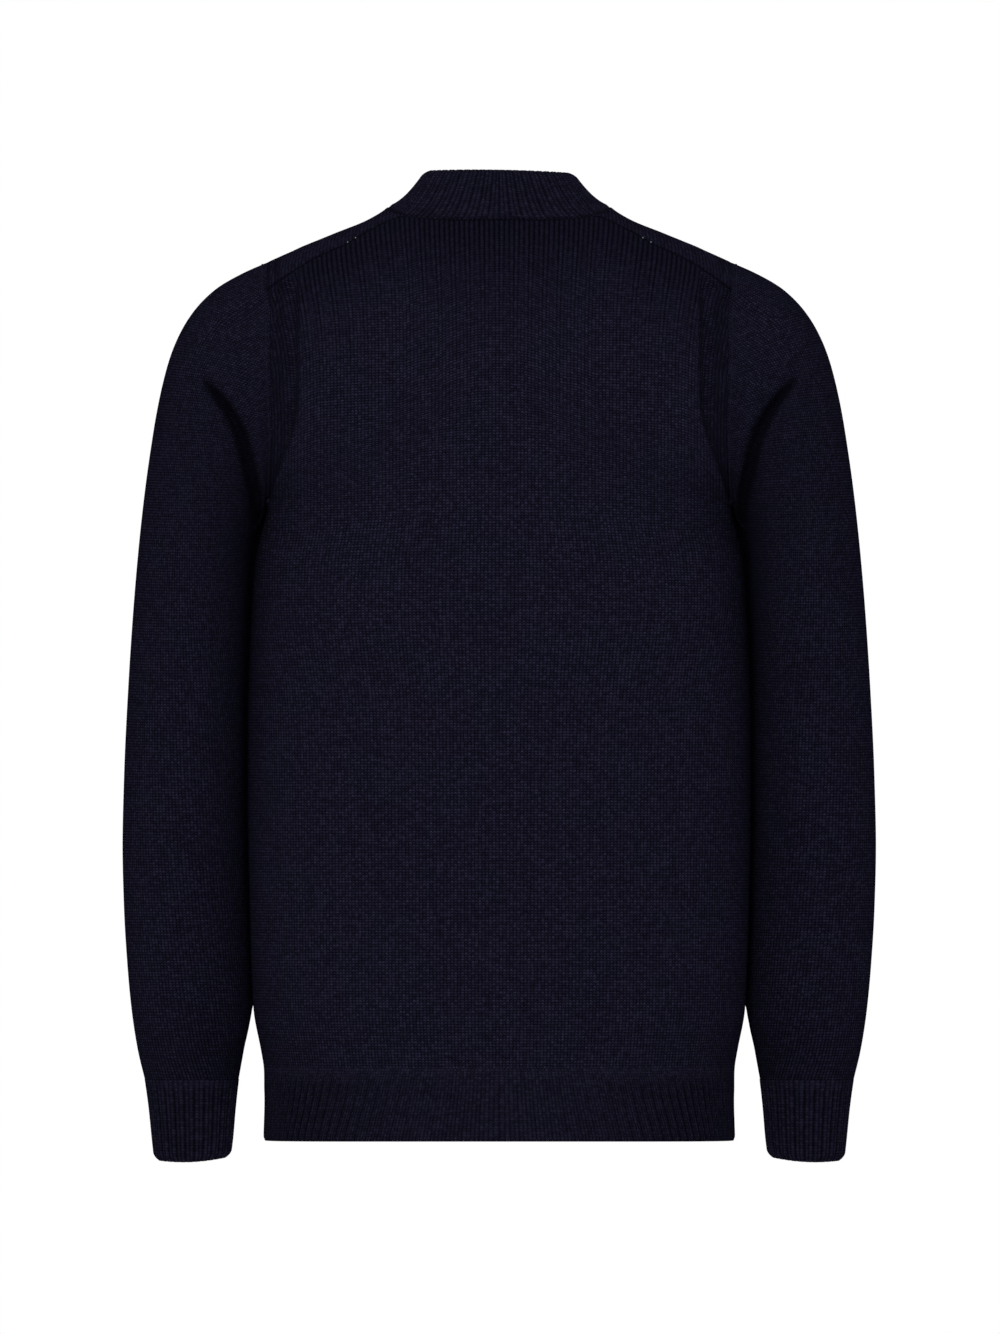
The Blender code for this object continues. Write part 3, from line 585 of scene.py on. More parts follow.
# %% Tables of the panels
ARMHOLE_HALF_WIDTH, ARMHOLE_SCOOP, SCOOP_SHARPNESS = 0.174, 0.010, 1.5
COLLAR_RIBS = 54
SHOULDER_LINES = (0.0880, 0.1040, 0.1200, 0.1345, 0.1450, 0.1530, 0.1630, ARMHOLE_HALF_WIDTH)
BACK_NECK_RIBS = (0, 1, 2, 3, 4, 6, 8)
BACK_LOW_TURNS = (0, 7, 14, 20.5, 27, 33.5, 40, 45.5, 50.5, 55.5, 60, 64, 68, 72, 90)
FRONT_NECK_RIBS = (27, 25, 23, 21, 19, 17, 15, 13, 11, 8)
FRONT_LOW_TURNS = (0, 6.5, 13, 19, 25, 30, 35, 39.5, 44, 48, 52, 56, 59.5, 62.5, 65.5, 68.5, 72, 90)
FRONT_LAST_LEADS = (0.0865, 0.0915, 0.0970, 0.1035, 0.1140, 0.1255, 0.1370, 0.1460, 0.1535, 0.1632, 0.1740)
BACK_ARMHOLE_ROWS, FRONT_ARMHOLE_ROWS = 11, 13
LOW_SPREAD, SPREAD_START, SPREAD_END = 0.1, 0.02, 0.12  # how far the lines move to the sides, over which drop
LEAD_SHARE = 0.45  # the columns above the underarm have found their way to the top edge at this share
UNDERARM_DIP, DIP_TURN, UNDERARM_LAG = 0.018, 60, 0.5  # the rows near the armhole dip, and close up to each other

ARMHOLE_FOLD = Sizes(
    "height out strength",
    (0.025, 0.149, 0.0),
    (-0.03, 0.149, 0.3),
    (-0.06, 0.149, 0.9),
    (-0.14, 0.1494, 1.0),
    (-0.163, 0.153, 1.0),
    (-0.185, 0.161, 0.7),
    (-0.215, 0.172, 0.2),
    (-0.238, 0.178, 0.0),
    (-0.7, 0.178, 0.0),
)
FOLD_RIDGE, FOLD_RIDGE_WIDTH, FOLD_RIDGE_AHEAD = 0.0025, 0.010, 0.004
FOLD_STEP, FOLD_STEP_WIDTH, FOLD_STEP_AHEAD = 0.0070, 0.0080, 0.002  # the drop behind the ridge

# %% Work out a half panel
COLUMNS_A_LINE, FINE_LINES = 6, 4  # fine columns between two lines of the tables, and twice that in the last lines
LOW_ROWS, HIGH_ROWS, LAST_ROWS, LAST_SHARE = 100, 75, 9, 0.965  # the last rows, at the top edge, lie closer
HIGH_SHARES = np.concatenate(
    [np.linspace(0, LAST_SHARE, HIGH_ROWS + 1)[1:], np.linspace(LAST_SHARE, 1, LAST_ROWS + 1)[1:]]
)
BACK_FOLD = (1.0, 0.0, 0.010)  # the fold's share, and where below the shoulder seam it begins and is full
FRONT_FOLD = (0.6, 0.035, 0.060)


def fold_at(points):
    """How strong the fold before the armhole is, and how far behind its ridge line the points lie."""
    z = points[..., 2]
    return ARMHOLE_FOLD.at("strength", z), np.abs(points[..., 0]) - ARMHOLE_FOLD.at("out", z)


def armhole_fold(points, share):
    """How far the fold moves the cloth out."""
    strength, behind = fold_at(points)
    ridge = FOLD_RIDGE * bell(behind + FOLD_RIDGE_AHEAD, FOLD_RIDGE_WIDTH)
    step = FOLD_STEP * ease((behind + FOLD_STEP_AHEAD) / FOLD_STEP_WIDTH)
    return share * strength * (ridge - step)


def top_edge(lines, neck_ribs):
    """The panel's top edge: the neckline from the middle to its corner, and then the shoulder seam."""
    corner = len(neck_ribs) - 1
    turns = np.interp(lines, np.arange(len(neck_ribs)), 360 / COLLAR_RIBS * np.array(neck_ribs))
    on_neck = neck_points(turns)
    start = neck_points(np.array([360 / COLLAR_RIBS * neck_ribs[-1]]))[0]
    out = np.interp(lines - corner, np.arange(len(SHOULDER_LINES) + 1), (start[0], *SHOULDER_LINES))
    to_corner = start - shoulder_points(start[:1])[0]
    near_corner = np.clip(1 - (lines - corner), 0, 1)[:, None]
    on_shoulder = shoulder_points(out) + near_corner * to_corner
    return np.where((lines <= corner)[:, None], on_neck, on_shoulder)


def half_panel(facing, neck_ribs, low_turns, last_leads, armhole_rows):
    """Rows of points from the hem rib up, each from the middle out, with the form's normals there.

    Also the length of cloth that the fold takes up between the middle and each point.
    """
    count = len(low_turns)
    finer = 1 + (np.arange(count - 1) >= count - 1 - FINE_LINES)
    lines = np.concatenate([[0.0]] + [k + np.arange(1, n + 1) / n for k, n in enumerate(COLUMNS_A_LINE * finer)])
    tops = top_edge(lines, neck_ribs)
    turns = np.interp(lines, np.arange(count), low_turns)
    to_seam = ease((turns - low_turns[-2]) / (90 - low_turns[-2]))
    coarse_leads = np.interp(np.arange(count), lines, tops[:, 0])
    coarse_leads[count - len(last_leads) :] = last_leads
    leads = np.interp(lines, np.arange(count), coarse_leads)

    z = np.linspace(HEM_TOP, UNDERARM, LOW_ROWS)[:, None]
    dip = UNDERARM_DIP * ease(turns / DIP_TURN) * (1 - to_seam)
    heights = HEM_TOP + (z - HEM_TOP) * (1 - dip / (UNDERARM - HEM_TOP))
    spread = LOW_SPREAD * ease((UNDERARM - SPREAD_START - heights) / (SPREAD_END - SPREAD_START))
    low = section_points(facing, np.minimum(turns * (1 + spread * (1 - to_seam)), 90), heights)

    share = HIGH_SHARES[:, None]
    last = low[-1]
    start = np.arctan2(last[:, 2] - HUB_HEIGHT, facing * (last[:, 1] - HUB_Y))
    start += to_seam * (-math.pi / 2 - start)
    end = np.arctan2(tops[:, 2] - HUB_HEIGHT, facing * (tops[:, 1] - HUB_Y))
    lag = UNDERARM_LAG * (turns / 90) ** 2 * (1 - to_seam)
    angles = start + share ** (1 + lag) * (end - start)
    edge_angles = -math.pi / 2 + share * (end[-1] + math.pi / 2)
    scoop = ARMHOLE_SCOOP * np.clip(np.cos(edge_angles), 0, 1) ** SCOOP_SHARPNESS * (facing < 0)
    x = last[:, 0] + ease(share / LEAD_SHARE) * (leads - last[:, 0])
    last_step = np.clip(share * armhole_rows - (armhole_rows - 1), 0, 1)
    x = (x + last_step * (tops[:, 0] - x)) * (1 - scoop / ARMHOLE_HALF_WIDTH)
    hubs = np.stack([x, np.full_like(x, HUB_Y), np.full_like(x, HUB_HEIGHT)], axis=-1)
    ways = np.stack([np.zeros_like(x), facing * np.cos(angles), np.sin(angles)], axis=-1)
    high = skin_from(hubs, ways, np.broadcast_to(last[:, 2], x.shape))

    form = np.concatenate([low, high])
    normals = form_normals(form)
    up = arcs(form, 0)
    full, clear, fade = BACK_FOLD if facing > 0 else FRONT_FOLD
    fold_share = full * ease((up[-1:] - up - clear) / fade)
    folded = form + armhole_fold(form, fold_share)[..., None] * normals
    return folded, normals, arcs(folded, 1) - arcs(form, 1)


back_half, back_normals, back_slack = half_panel(1, BACK_NECK_RIBS, BACK_LOW_TURNS, (), BACK_ARMHOLE_ROWS)
front_half, front_normals, front_slack = half_panel(
    -1, FRONT_NECK_RIBS, FRONT_LOW_TURNS, FRONT_LAST_LEADS, FRONT_ARMHOLE_ROWS
)
print("half panels of", back_half.shape[:2], "and", front_half.shape[:2], "points")

# %% [markdown]
# ## Seams sink in
# Where two knitted pieces are linked, both edges are drawn down into the seam and a shallow groove shows. Each
# panel's points sink along their normals near the armhole, the shoulder seam and the neckline. The sleeve and the
# collar later sink by the same arrows, so the edges stay together. Over the crest of the shoulder the armhole seam
# hardly shows, so there it stays shallow.
#
# The columns of stitches run straight up the cloth. Their number at a point follows from its distance from the
# middle, measured along the chest. Below the underarm the panel is wider, and more stitches come in at its sides.
# Two marks go with each point. One says where the columns are pulled apart: below the neckline and the shoulder
# seam, and above the hem. The other is painted shade where the cloth lies low: in the seams and behind the fold,
# where little light gets in.

# %% Sink the panels' edges, count their stitches and lay them
SEAM_DEPTH, SEAM_WIDTH = 0.0008, 0.0016
CREST_QUIET = (0.035, 0.080)  # how far below the shoulder seam the front's armhole seam begins to show, and is full
CHEST_LEVEL, CHEST_TURNS = -0.16, np.linspace(0, 89, 300)  # where the columns of stitches are counted off
EVEN_REACH = 0.16  # the drop below the underarm over which the new stitches come in
NECK_SPREAD, NECK_SPREAD_REACH = 0.07, 0.055  # the columns stand a little wider apart below the neckline
DRAWN_REACH = 0.070  # how far below the top edge the columns are still pulled apart
HEM_DRAWN, HEM_DRAWN_RISE, HEM_DRAWN_SIDE = 0.55, 0.045, 0.11  # the same above the hem, most at the sides
STRIP_SHADE, STRIP_EDGE = 0.45, 0.0030  # how much painted shade the strip behind the fold gets, and how soft its edge is
SIDE_SEAM_SHADE, SIDE_SINK, TOP_SEAM_SHADE = 0.35, 0.5, 1.3  # the armhole seam is painted with less shade, and sinks less, than the shoulder seam
OTHER_SIDE = np.array([-1.0, 1.0, 1.0])
BODY_SPINE = np.array([(0.0, HUB_Y, z) for z in np.arange(HEM_END, 0.0, 0.05)])


def near(distance):
    return bell(distance, SEAM_WIDTH)


def mirrored(grid, sign):
    return np.concatenate([grid[:, :0:-1] * sign, grid], axis=1)


def behind_fold(points):
    strength, behind = fold_at(points)
    return np.sqrt(strength) * ease((behind + FOLD_STEP_AHEAD) / STRIP_EDGE)


def lay_panel(name, half, normals, slack, facing):
    """A whole panel from its left half. Also gives the half with its edges let down into the seams, and the painted
    shade of the seams on it.
    """
    out, up = arcs(half, 1), arcs(half, 0)
    to_side, to_top = out[:, -1:] - out, up[-1:] - up
    above = np.arange(len(half))[:, None] >= LOW_ROWS
    loud = 1.0 if facing > 0 else ease((to_top - CREST_QUIET[0]) / (CREST_QUIET[1] - CREST_QUIET[0]))
    by_side = near(to_side) * loud * above
    sunk_or_shade = half - SEAM_DEPTH * np.maximum(SIDE_SINK * by_side, near(to_top))[..., None] * normals
    # painted shade in the armhole seam and along the top edge
    seam_shade = np.maximum(SIDE_SEAM_SHADE * by_side, TOP_SEAM_SHADE * near(to_top))

    chest = section_points(facing, CHEST_TURNS, np.full_like(CHEST_TURNS, CHEST_LEVEL))
    by_x = slack + np.interp(half[..., 0], chest[:, 0], arcs(chest[None], 1)[0])
    underarm = by_x[LOW_ROWS - 1]
    even = out / out[:, -1:] * out[LOW_ROWS - 1, -1]
    below = underarm + ease((UNDERARM - half[..., 2]) / EVEN_REACH) * (even - underarm)
    across = np.where(above, by_x, below)
    wales = across / (1 + NECK_SPREAD * bell(to_top, NECK_SPREAD_REACH)) / WALE
    strip, by_top = behind_fold(half), bell(to_top, DRAWN_REACH)
    if facing < 0:
        full, clear, fade = FRONT_FOLD
        strip = full * strip * ease((to_top - clear) / fade)
        corner = (len(FRONT_NECK_RIBS) - 1) * COLUMNS_A_LINE
        by_top = by_top * (1 - ease((np.arange(half.shape[1]) - corner) / COLUMNS_A_LINE + 2))
    by_hem = HEM_DRAWN * bell(up, HEM_DRAWN_RISE) * bell(to_side, HEM_DRAWN_SIDE)
    drawn = np.maximum(by_top * (1 - strip), by_hem)
    # painted shade in the seams and on the strip behind the fold
    deep_or_shade = np.maximum(seam_shade, STRIP_SHADE * strip)
    cloth = lay_cloth(
        name,
        mirrored(sunk_or_shade, OTHER_SIDE),
        mirrored(wales, -1),
        *(mirrored(grid, 1) for grid in (up / COURSE, drawn, deep_or_shade)),
    )
    return cloth, sunk_or_shade, seam_shade


back_knit, back_sunk, back_seam_shade = lay_panel("back_knit", back_half, back_normals, back_slack, 1)
front_knit, front_sunk, front_seam_shade = lay_panel("front_knit", front_half, front_normals, front_slack, -1)
dress(back_knit, BODY_SPINE, "back_panel", "plain_knit")
dress(front_knit, BODY_SPINE, "front_panel", "plain_knit")

# %% [markdown]
# ## The sleeves
# A sleeve starts as the armhole, a tall oval that leans, and turns into a round arm that hangs down and forward.
# Each row of the table is a slanting section from the outer edge of the arm to the inner one. The last column says
# how far the section has left the armhole's shape. The grid rolls up round the arm and closes under it, where the
# real sleeve has its seam too.
#
# The photographed sleeves have one deep soft fold, which runs from the back of the upper arm down into the armpit.
# It is a short route with a depth and a width at each point, pressed into the cloth.

# %% Tables of the sleeve
SLEEVE_SECTIONS = np.array(
    [
        # outer_x, outer_z, inner_x, inner_z, centre_y, half_depth, arm_shape
        (0.193, -0.0455, 0.1762, -0.2265, -0.004, 0.076, 0.1),
        (0.212, -0.0565, 0.1792, -0.2325, -0.0042, 0.075, 0.25),
        (0.228, -0.072, 0.1822, -0.2385, -0.0045, 0.0725, 0.42),
        (0.239, -0.089, 0.1845, -0.2445, -0.0048, 0.07, 0.58),
        (0.247, -0.108, 0.1858, -0.2515, -0.0052, 0.068, 0.72),
        (0.253, -0.13, 0.1866, -0.2595, -0.0057, 0.0662, 0.84),
        (0.2575, -0.152, 0.1873, -0.269, -0.0063, 0.0647, 0.93),
        (0.2612, -0.175, 0.188, -0.281, -0.007, 0.0634, 1.0),
        (0.2652, -0.203, 0.1888, -0.296, -0.008, 0.0623, 1.0),
        (0.2695, -0.24, 0.1897, -0.317, -0.0095, 0.0612, 1.0),
        (0.2742, -0.292, 0.1905, -0.348, -0.012, 0.0592, 1.0),
        (0.2785, -0.356, 0.191, -0.39, -0.015, 0.0558, 1.0),
        (0.2816, -0.42, 0.1911, -0.438, -0.019, 0.0518, 1.0),
        (0.2829, -0.475, 0.1904, -0.483, -0.023, 0.048, 1.0),
        (0.2819, -0.52, 0.1892, -0.523, -0.0265, 0.0453, 1.0),
        (0.2795, -0.562, 0.1874, -0.563, -0.03, 0.0432, 1.0),
        (0.2762, -0.598, 0.1866, -0.598, -0.033, 0.0418, 1.0),
        (0.2716, -0.628, 0.1918, -0.628, -0.0352, 0.0398, 1.0),
        (0.2664, -0.65, 0.1958, -0.65, -0.0366, 0.0366, 1.0),
    ]
)
CUFF_SECTIONS = np.array(
    [
        (0.2652, -0.65, 0.1968, -0.65, -0.0366, 0.0356),
        (0.2622, -0.673, 0.1992, -0.673, -0.0378, 0.033),
        (0.26, -0.695, 0.201, -0.694, -0.039, 0.0325),
        (0.2582, -0.7118, 0.203, -0.7096, -0.0399, 0.0322),
    ]
)
CUFF_DROOP = 0.0016  # the end of the cuff hangs lower at the back and front than at its edges
SLEEVE_FOLD = np.array(
    [
        # x, z, depth, width
        (0.2238, -0.1232, 0.0012, 0.0028),
        (0.2192, -0.1282, 0.0078, 0.0034),
        (0.2116, -0.1364, 0.013, 0.004),
        (0.2021, -0.1491, 0.0155, 0.0046),
        (0.1939, -0.1649, 0.0165, 0.0052),
        (0.1895, -0.1808, 0.016, 0.0054),
        (0.1863, -0.1966, 0.018, 0.0054),
        (0.1831, -0.21, 0.018, 0.0052),
        (0.1815, -0.23, 0.012, 0.0048),
    ]
)
FRONT_SLEEVE_FOLD_SHARE = 0.5  # the fold on the front is weaker
SLEEVE_FOLD_CLEAR, FOLD_SIDE_CLEAR = 0.004, 0.02  # it fades at the armhole, and where back and front meet
FOLD_SHADE, FOLD_SHADE_GAIN, FOLD_SHADE_POWER = 1.15, 1.9, 1.4  # how much painted shade darkens the fold's bottom, and how wide it spreads
INNER_SHADE = 0.42  # painted shade on the side towards the body, which gets less light
CUFF_DRAWN, CUFF_DRAWN_RISE = 0.5, 0.05  # the columns are pulled apart above the cuff, up to this height
REST_TOP, REST_END, REST_BACK, REST_FRONT = -0.208, -0.609, -0.012, -0.085  # where the sleeve rests on the body
REST_FADES = (0.018, 0.030, 0.025, 0.030)  # how far in from each of these edges it rests in full
REST_CLEARANCE, REST_REACH, REST_LET_GO = 0.0025, 0.030, 0.012  # the gap left, and from how far off it leans
SLEEVE_COLUMNS, SLEEVE_ROWS_A_SECTION = 170, 10
SIDES = (("left", np.ones(3)), ("right", OTHER_SIDE))


# %% Work out the sleeve
def arm_axes(section):
    """A section's centre, and the ways from there to the outer edge of the arm and to its back."""
    outer_x, outer_z, inner_x, inner_z, centre_y, half_depth = section[:6]
    outer, inner = np.array([outer_x, centre_y, outer_z]), np.array([inner_x, centre_y, inner_z])
    return (outer + inner) / 2, (outer - inner) / 2, np.array([0.0, half_depth, 0.0])


def ring(section, turns):
    centre, across, depth = arm_axes(section)
    return centre + np.cos(turns)[:, None] * across + np.sin(turns)[:, None] * depth


def even_along(line, count):
    """The same line with its points evenly apart. Columns after the first three are carried along."""
    run = arcs(line[None, :, :3], 1)[0]
    wanted = np.linspace(0, run[-1], count)
    return np.stack([np.interp(wanted, run, line[:, k]) for k in range(line.shape[1])], axis=-1)


def ring_normals(points, centres):
    """Normals of a grid of closed rings whose last column repeats the first."""
    around = np.roll(points[:, :-1], -1, axis=1) - np.roll(points[:, :-1], 1, axis=1)
    around = np.concatenate([around, around[:, :1]], axis=1)
    normals = unit(np.cross(np.gradient(points, axis=0), around))
    outward = np.sum(normals * (points - centres[:, None]), axis=-1, keepdims=True) > 0
    return np.where(outward, normals, -normals)


def pressed_in(points):
    """How far the fold on the back and front of the sleeve draws the cloth in, counted to the front."""
    x, y, z = np.moveaxis(points, -1, 0)
    nearest, deep_or_shade = np.full(x.shape, np.inf), np.zeros(x.shape)
    for start, end in zip(SLEEVE_FOLD[:-1], SLEEVE_FOLD[1:]):
        run = (end - start)[:2]
        share = np.clip(((x - start[0]) * run[0] + (z - start[1]) * run[1]) / (run @ run), 0, 1)
        x_here, z_here, depth_here, width_here = np.moveaxis(start + share[..., None] * (end - start), -1, 0)
        distance = np.hypot(x - x_here, z - z_here) / width_here
        deep_or_shade = np.where(distance < nearest, depth_here, deep_or_shade)
        nearest = np.minimum(distance, nearest)
    side = np.where(y > HUB_Y, 1.0, -FRONT_SLEEVE_FOLD_SHARE)
    side = side * ease(np.abs(y - HUB_Y) / FOLD_SIDE_CLEAR)
    return side * ease((x - ARMHOLE_HALF_WIDTH) / SLEEVE_FOLD_CLEAR) * deep_or_shade * bell(nearest, 1.0)


def resting_on_body(points):
    """How far the front of the sleeve leans towards the body, which it rests on below the underarm."""
    x, y, z = np.moveaxis(points, -1, 0)
    away = np.clip(np.abs((y - TORSO.at("side_y", z)) / depth_at(-1, z)), 0, 1)
    body_x = TORSO.at("half_width", z) * (1 - away**ROUNDNESS) ** (1 / ROUNDNESS)
    inset = (REST_TOP - z, z - REST_END, REST_BACK - y, y - REST_FRONT)
    rests = np.prod([ease(depth / fade) for depth, fade in zip(inset, REST_FADES)], axis=0)
    reach = np.clip(x - body_x - REST_CLEARANCE, 0, None)
    return rests * reach * ease((REST_REACH - reach) / REST_LET_GO)


first = LOW_ROWS - 1
# the armhole's points carry the panels' sinking and their painted seam shade over to the sleeve
back_edge, front_edge = (
    np.concatenate([half, sunk_or_shade - half, seam[..., None]], axis=-1)[first:, -1]
    for half, sunk_or_shade, seam in ((back_half, back_sunk, back_seam_shade), (front_half, front_sunk, front_seam_shade))
)
armhole = even_along(np.concatenate([back_edge, front_edge[-2:0:-1], back_edge[:1]]), SLEEVE_COLUMNS + 1)
armhole, armhole_sinks, armhole_seam_shade = armhole[:, :3], armhole[:, 3:6], armhole[:, 6]

hub = np.array([ARMHOLE_HALF_WIDTH, HUB_Y, HUB_HEIGHT])
arm_turns = np.arctan2(armhole[:, 1] - hub[1], armhole[:, 2] - hub[2])
top, bottom = armhole[:, 2].max(), armhole[:, 2].min()
middle_y, half_depth = (armhole[:, 1].max() + armhole[:, 1].min()) / 2, np.ptp(armhole[:, 1]) / 2
up = (2 * armhole[:, 2] - top - bottom) / (top - bottom)
back = (armhole[:, 1] - middle_y) / half_depth
rings, centres = [armhole], [hub]
for section in SLEEVE_SECTIONS:
    centre, outward, depth = arm_axes(section)
    like_armhole = centre + up[:, None] * outward + back[:, None] * depth
    like_armhole[:, 0] += armhole[:, 0] - ARMHOLE_HALF_WIDTH
    rings.append(like_armhole + section[6] * (ring(section, arm_turns) - like_armhole))
    centres.append(centre)
keys = np.arange(len(rings), dtype=float)
fine_keys = np.linspace(0, keys[-1], (len(rings) - 1) * SLEEVE_ROWS_A_SECTION + 1)
sleeve = smooth_between(keys, np.array(rings), fine_keys)
sleeve_centres = smooth_between(keys, np.array(centres), fine_keys)
sleeve_normals = ring_normals(sleeve, sleeve_centres)
print("a sleeve of", sleeve.shape[:2], "points, from an armhole", round(arcs(armhole[None], 1)[0, -1], 3), "m round")

# %% Press in the fold, sink the seam and lay both sleeves
run = arcs(sleeve, 0)
fold = pressed_in(sleeve) * (run > 0)  # nothing moves at the armhole itself
sleeve_skin = sleeve.copy()
sleeve_skin[..., 1] -= fold
sleeve_skin[..., 0] -= resting_on_body(sleeve) * (run > 0)
sleeve_skin += near(run)[..., None] * armhole_sinks
sleeve_drawn = CUFF_DRAWN * bell(run[-1:] - run, CUFF_DRAWN_RISE)
# painted shade at the bottom of the fold, in the armhole seam and on the side towards the body
fold_shade = np.clip(FOLD_SHADE_GAIN * np.abs(fold) / SLEEVE_FOLD[:, 2].max(), 0, 1)
sleeve_shade = np.maximum(near(run) * armhole_seam_shade, INNER_SHADE * (1 - np.cos(arm_turns)) / 2)
sleeve_shade = np.maximum(sleeve_shade, FOLD_SHADE * fold_shade**FOLD_SHADE_POWER)
around = arcs(sleeve_skin, 1)
outer_column = np.argmin(np.abs(arm_turns))
sleeve_wales = (around - around[:, outer_column : outer_column + 1]) / WALE
sleeve_courses = (run[-1:] - run) / COURSE

for side, flip in SIDES:
    cloth = lay_cloth(
        f"sleeve_knit_{side}",
        sleeve_skin * flip,
        sleeve_wales * flip[0],
        sleeve_courses,
        sleeve_drawn,
        sleeve_shade,
        closed=True,
    )
    dress(cloth, sleeve_centres * flip, f"sleeve_{side}", "plain_knit")

# %% [markdown]
# ## Ribs
# Hem, cuffs and collar are knitted in ribs: two columns of stitches stand out, and the next two sink behind them.
# Here the relief is large enough to be real geometry. A rib band is laid like the other cloth, and then each of its
# columns is raised by a profile that climbs out of the valley, is nearly flat over the rib, and has a crease between
# the rib's two columns of stitches. On the hem the stitch map counts all four columns from rib to rib. On the
# narrow cuffs and collar it counts half as many, each twice as broad.

# %% Profile of a rib
RIB_RAISE = 0.0013
RIB_FLANK = 0.3  # share of the rib's pitch over which it climbs
RIB_CREASE, RIB_CREASE_WIDTH = 0.45, 0.10
VALLEY_SHADE, HEM_VALLEY_SHADE, COLLAR_VALLEY_SHADE = 0.75, 1.05, 0.45  # how much painted shade darkens the valleys between the ribs
COLUMNS_A_RIB = 8
WALES_A_RIB, HEM_WALES_A_RIB = 2, 4
RIB_DRAWN, HEM_BAND_DRAWN = 0.4, 0.42  # how strongly the columns of the ribs are pulled apart


def rib_places(ribs):
    """Places of a band's columns, counted in ribs."""
    return np.linspace(0, ribs, ribs * COLUMNS_A_RIB + 1)


def rib_profile(place):
    """From 0 in the valley to 1 on the rib, for places counted in ribs."""
    share = place % 1.0
    return ease(np.minimum(share, 1 - share) / RIB_FLANK) - RIB_CREASE * bell(share - 0.5, RIB_CREASE_WIDTH)


def ribbed(band, centres, places, start, climb, mark, roll, roll_reach):
    """A round band with its ribs raised and its end rolled in, its lengths, and the painted shade of its valleys.

    The ribs grow over the climb, out of the valleys' level where the start is 0 and the ribs' where it is 1.
    """
    run = arcs(band, 0)
    profile, strength = rib_profile(places), ease(run / climb)
    rise = RIB_RAISE * (start + (profile - start) * strength)
    rise -= roll * (1 - np.clip((run[-1:] - run) / roll_reach, 0, 1)) ** 2
    return band + rise[..., None] * ring_normals(band, centres), run, mark * (1 - profile) * strength


# %% The ribbed hem, back and front
HEM_RIBS, HEM_RIB_LEAN, HEM_ROWS = 60, 6.5, 22
HEM_ROLL, HEM_ROLL_FROM = 0.0012, 0.94  # the edge rolls in from this share of the way down
FAINT_RIBS = 0.22  # the ribs are stretched nearly flat in the middle, where they keep this share of their height
FAINT_TURN, FAINT_FADE = 16, 38  # degrees from the middle up to where they are faint, and from there to full height
HEM_RIB_CLIMB, HEM_DRAWN_CLIMB = 0.35, 0.2  # shares of the way down over which ribs and drawn columns begin
HEM_LOWER, HEM_LIFT = 0.0012, 0.0010  # how far the edge hangs below the solid's, and how much less in the middle


def hem_band(facing):
    places = rib_places(HEM_RIBS)
    z = np.linspace(HEM_TOP, HEM_END - HEM_LOWER, HEM_ROWS)[:, None]
    low = (HEM_TOP - z) / (HEM_TOP - HEM_END + HEM_LOWER)
    turns = 180 * places / HEM_RIBS - 90
    turns = turns + HEM_RIB_LEAN * low * np.sin(np.radians(2 * turns))
    skin = section_points(facing, turns, z + 0 * turns)
    normals = unit(form_normals(skin) * (1.0, 1.0, 0.0))
    strength = FAINT_RIBS + (1 - FAINT_RIBS) * ease((np.abs(turns) - FAINT_TURN) / FAINT_FADE)
    strength = strength * ease(low / HEM_RIB_CLIMB)
    rise = RIB_RAISE * rib_profile(places) * strength
    rise = rise - HEM_ROLL * ease((low - HEM_ROLL_FROM) / (1 - HEM_ROLL_FROM))
    points = skin + rise[..., None] * normals
    points[..., 2] += HEM_LIFT * low * np.cos(np.radians(turns)) ** 2
    wales = HEM_WALES_A_RIB * (places - HEM_RIBS / 2)
    # painted shade in the valleys between the ribs
    sunk_or_shade = HEM_VALLEY_SHADE * (1 - rib_profile(places)) * strength
    return points, wales, (z - HEM_TOP) / COURSE, HEM_BAND_DRAWN * ease(low / HEM_DRAWN_CLIMB), sunk_or_shade


for side, facing in (("back", 1), ("front", -1)):
    cloth = lay_cloth(f"hem_knit_{side}", *hem_band(facing))
    dress(cloth, BODY_SPINE, f"hem_rib_{side}", "rib_knit")

# %% The cuffs
CUFF_RIBS, CUFF_ROWS = 27, 30
CUFF_ROUND, CUFF_ROUND_REACH = 0.0040, 0.007  # the edge of the cuff draws in at its end
CUFF_RIB_CLIMB = 0.012

places = rib_places(CUFF_RIBS)
cuff_turns = 2 * math.pi * places / CUFF_RIBS
cuff_keys = np.linspace(0, len(CUFF_SECTIONS) - 1, CUFF_ROWS)
cuff_rows = smooth_between(np.arange(len(CUFF_SECTIONS), dtype=float), CUFF_SECTIONS, cuff_keys)
cuff = np.array([ring(section, cuff_turns) for section in cuff_rows])
cuff[..., 2] -= CUFF_DROOP * ease(np.linspace(0, 1, CUFF_ROWS))[:, None] * np.sin(cuff_turns) ** 2
cuff_centres = np.array([arm_axes(section)[0] for section in cuff_rows])
# the third result is painted shade in the valleys
cuff_skin, cuff_run, cuff_shade = ribbed(
    cuff, cuff_centres, places, 1, CUFF_RIB_CLIMB, VALLEY_SHADE, CUFF_ROUND, CUFF_ROUND_REACH
)
for side, flip in SIDES:
    wales = flip[0] * WALES_A_RIB * places
    cloth = lay_cloth(
        f"cuff_knit_{side}", cuff_skin * flip, wales, -cuff_run / COURSE, RIB_DRAWN, cuff_shade, closed=True
    )
    dress(cloth, cuff_centres * flip, f"cuff_{side}", "rib_knit")

# %% The collar
RIM_HALF_WIDTH, RIM_BACK, RIM_FRONT = 0.0545, 0.056, 0.061
RIM_BACK_HEIGHT, RIM_FRONT_HEIGHT = 0.0318, 0.006
RIM_ROUNDNESS = 2.3
RIM_LEVEL, RIM_FALL = 0.35, 1.4  # the rim is level at the back and falls to the front
COLLAR_FLARE = 0.62  # below 1 the collar draws in early and then stands upright
RIM_TILT = 0.016  # the rim hangs a little to the right
COLLAR_ROWS, NECK_STEPS = 26, 3601
RIM_ROLL, RIM_ROLL_REACH = 0.0030, 0.007  # the rim rolls in at its end
COLLAR_RIB_CLIMB = 0.004

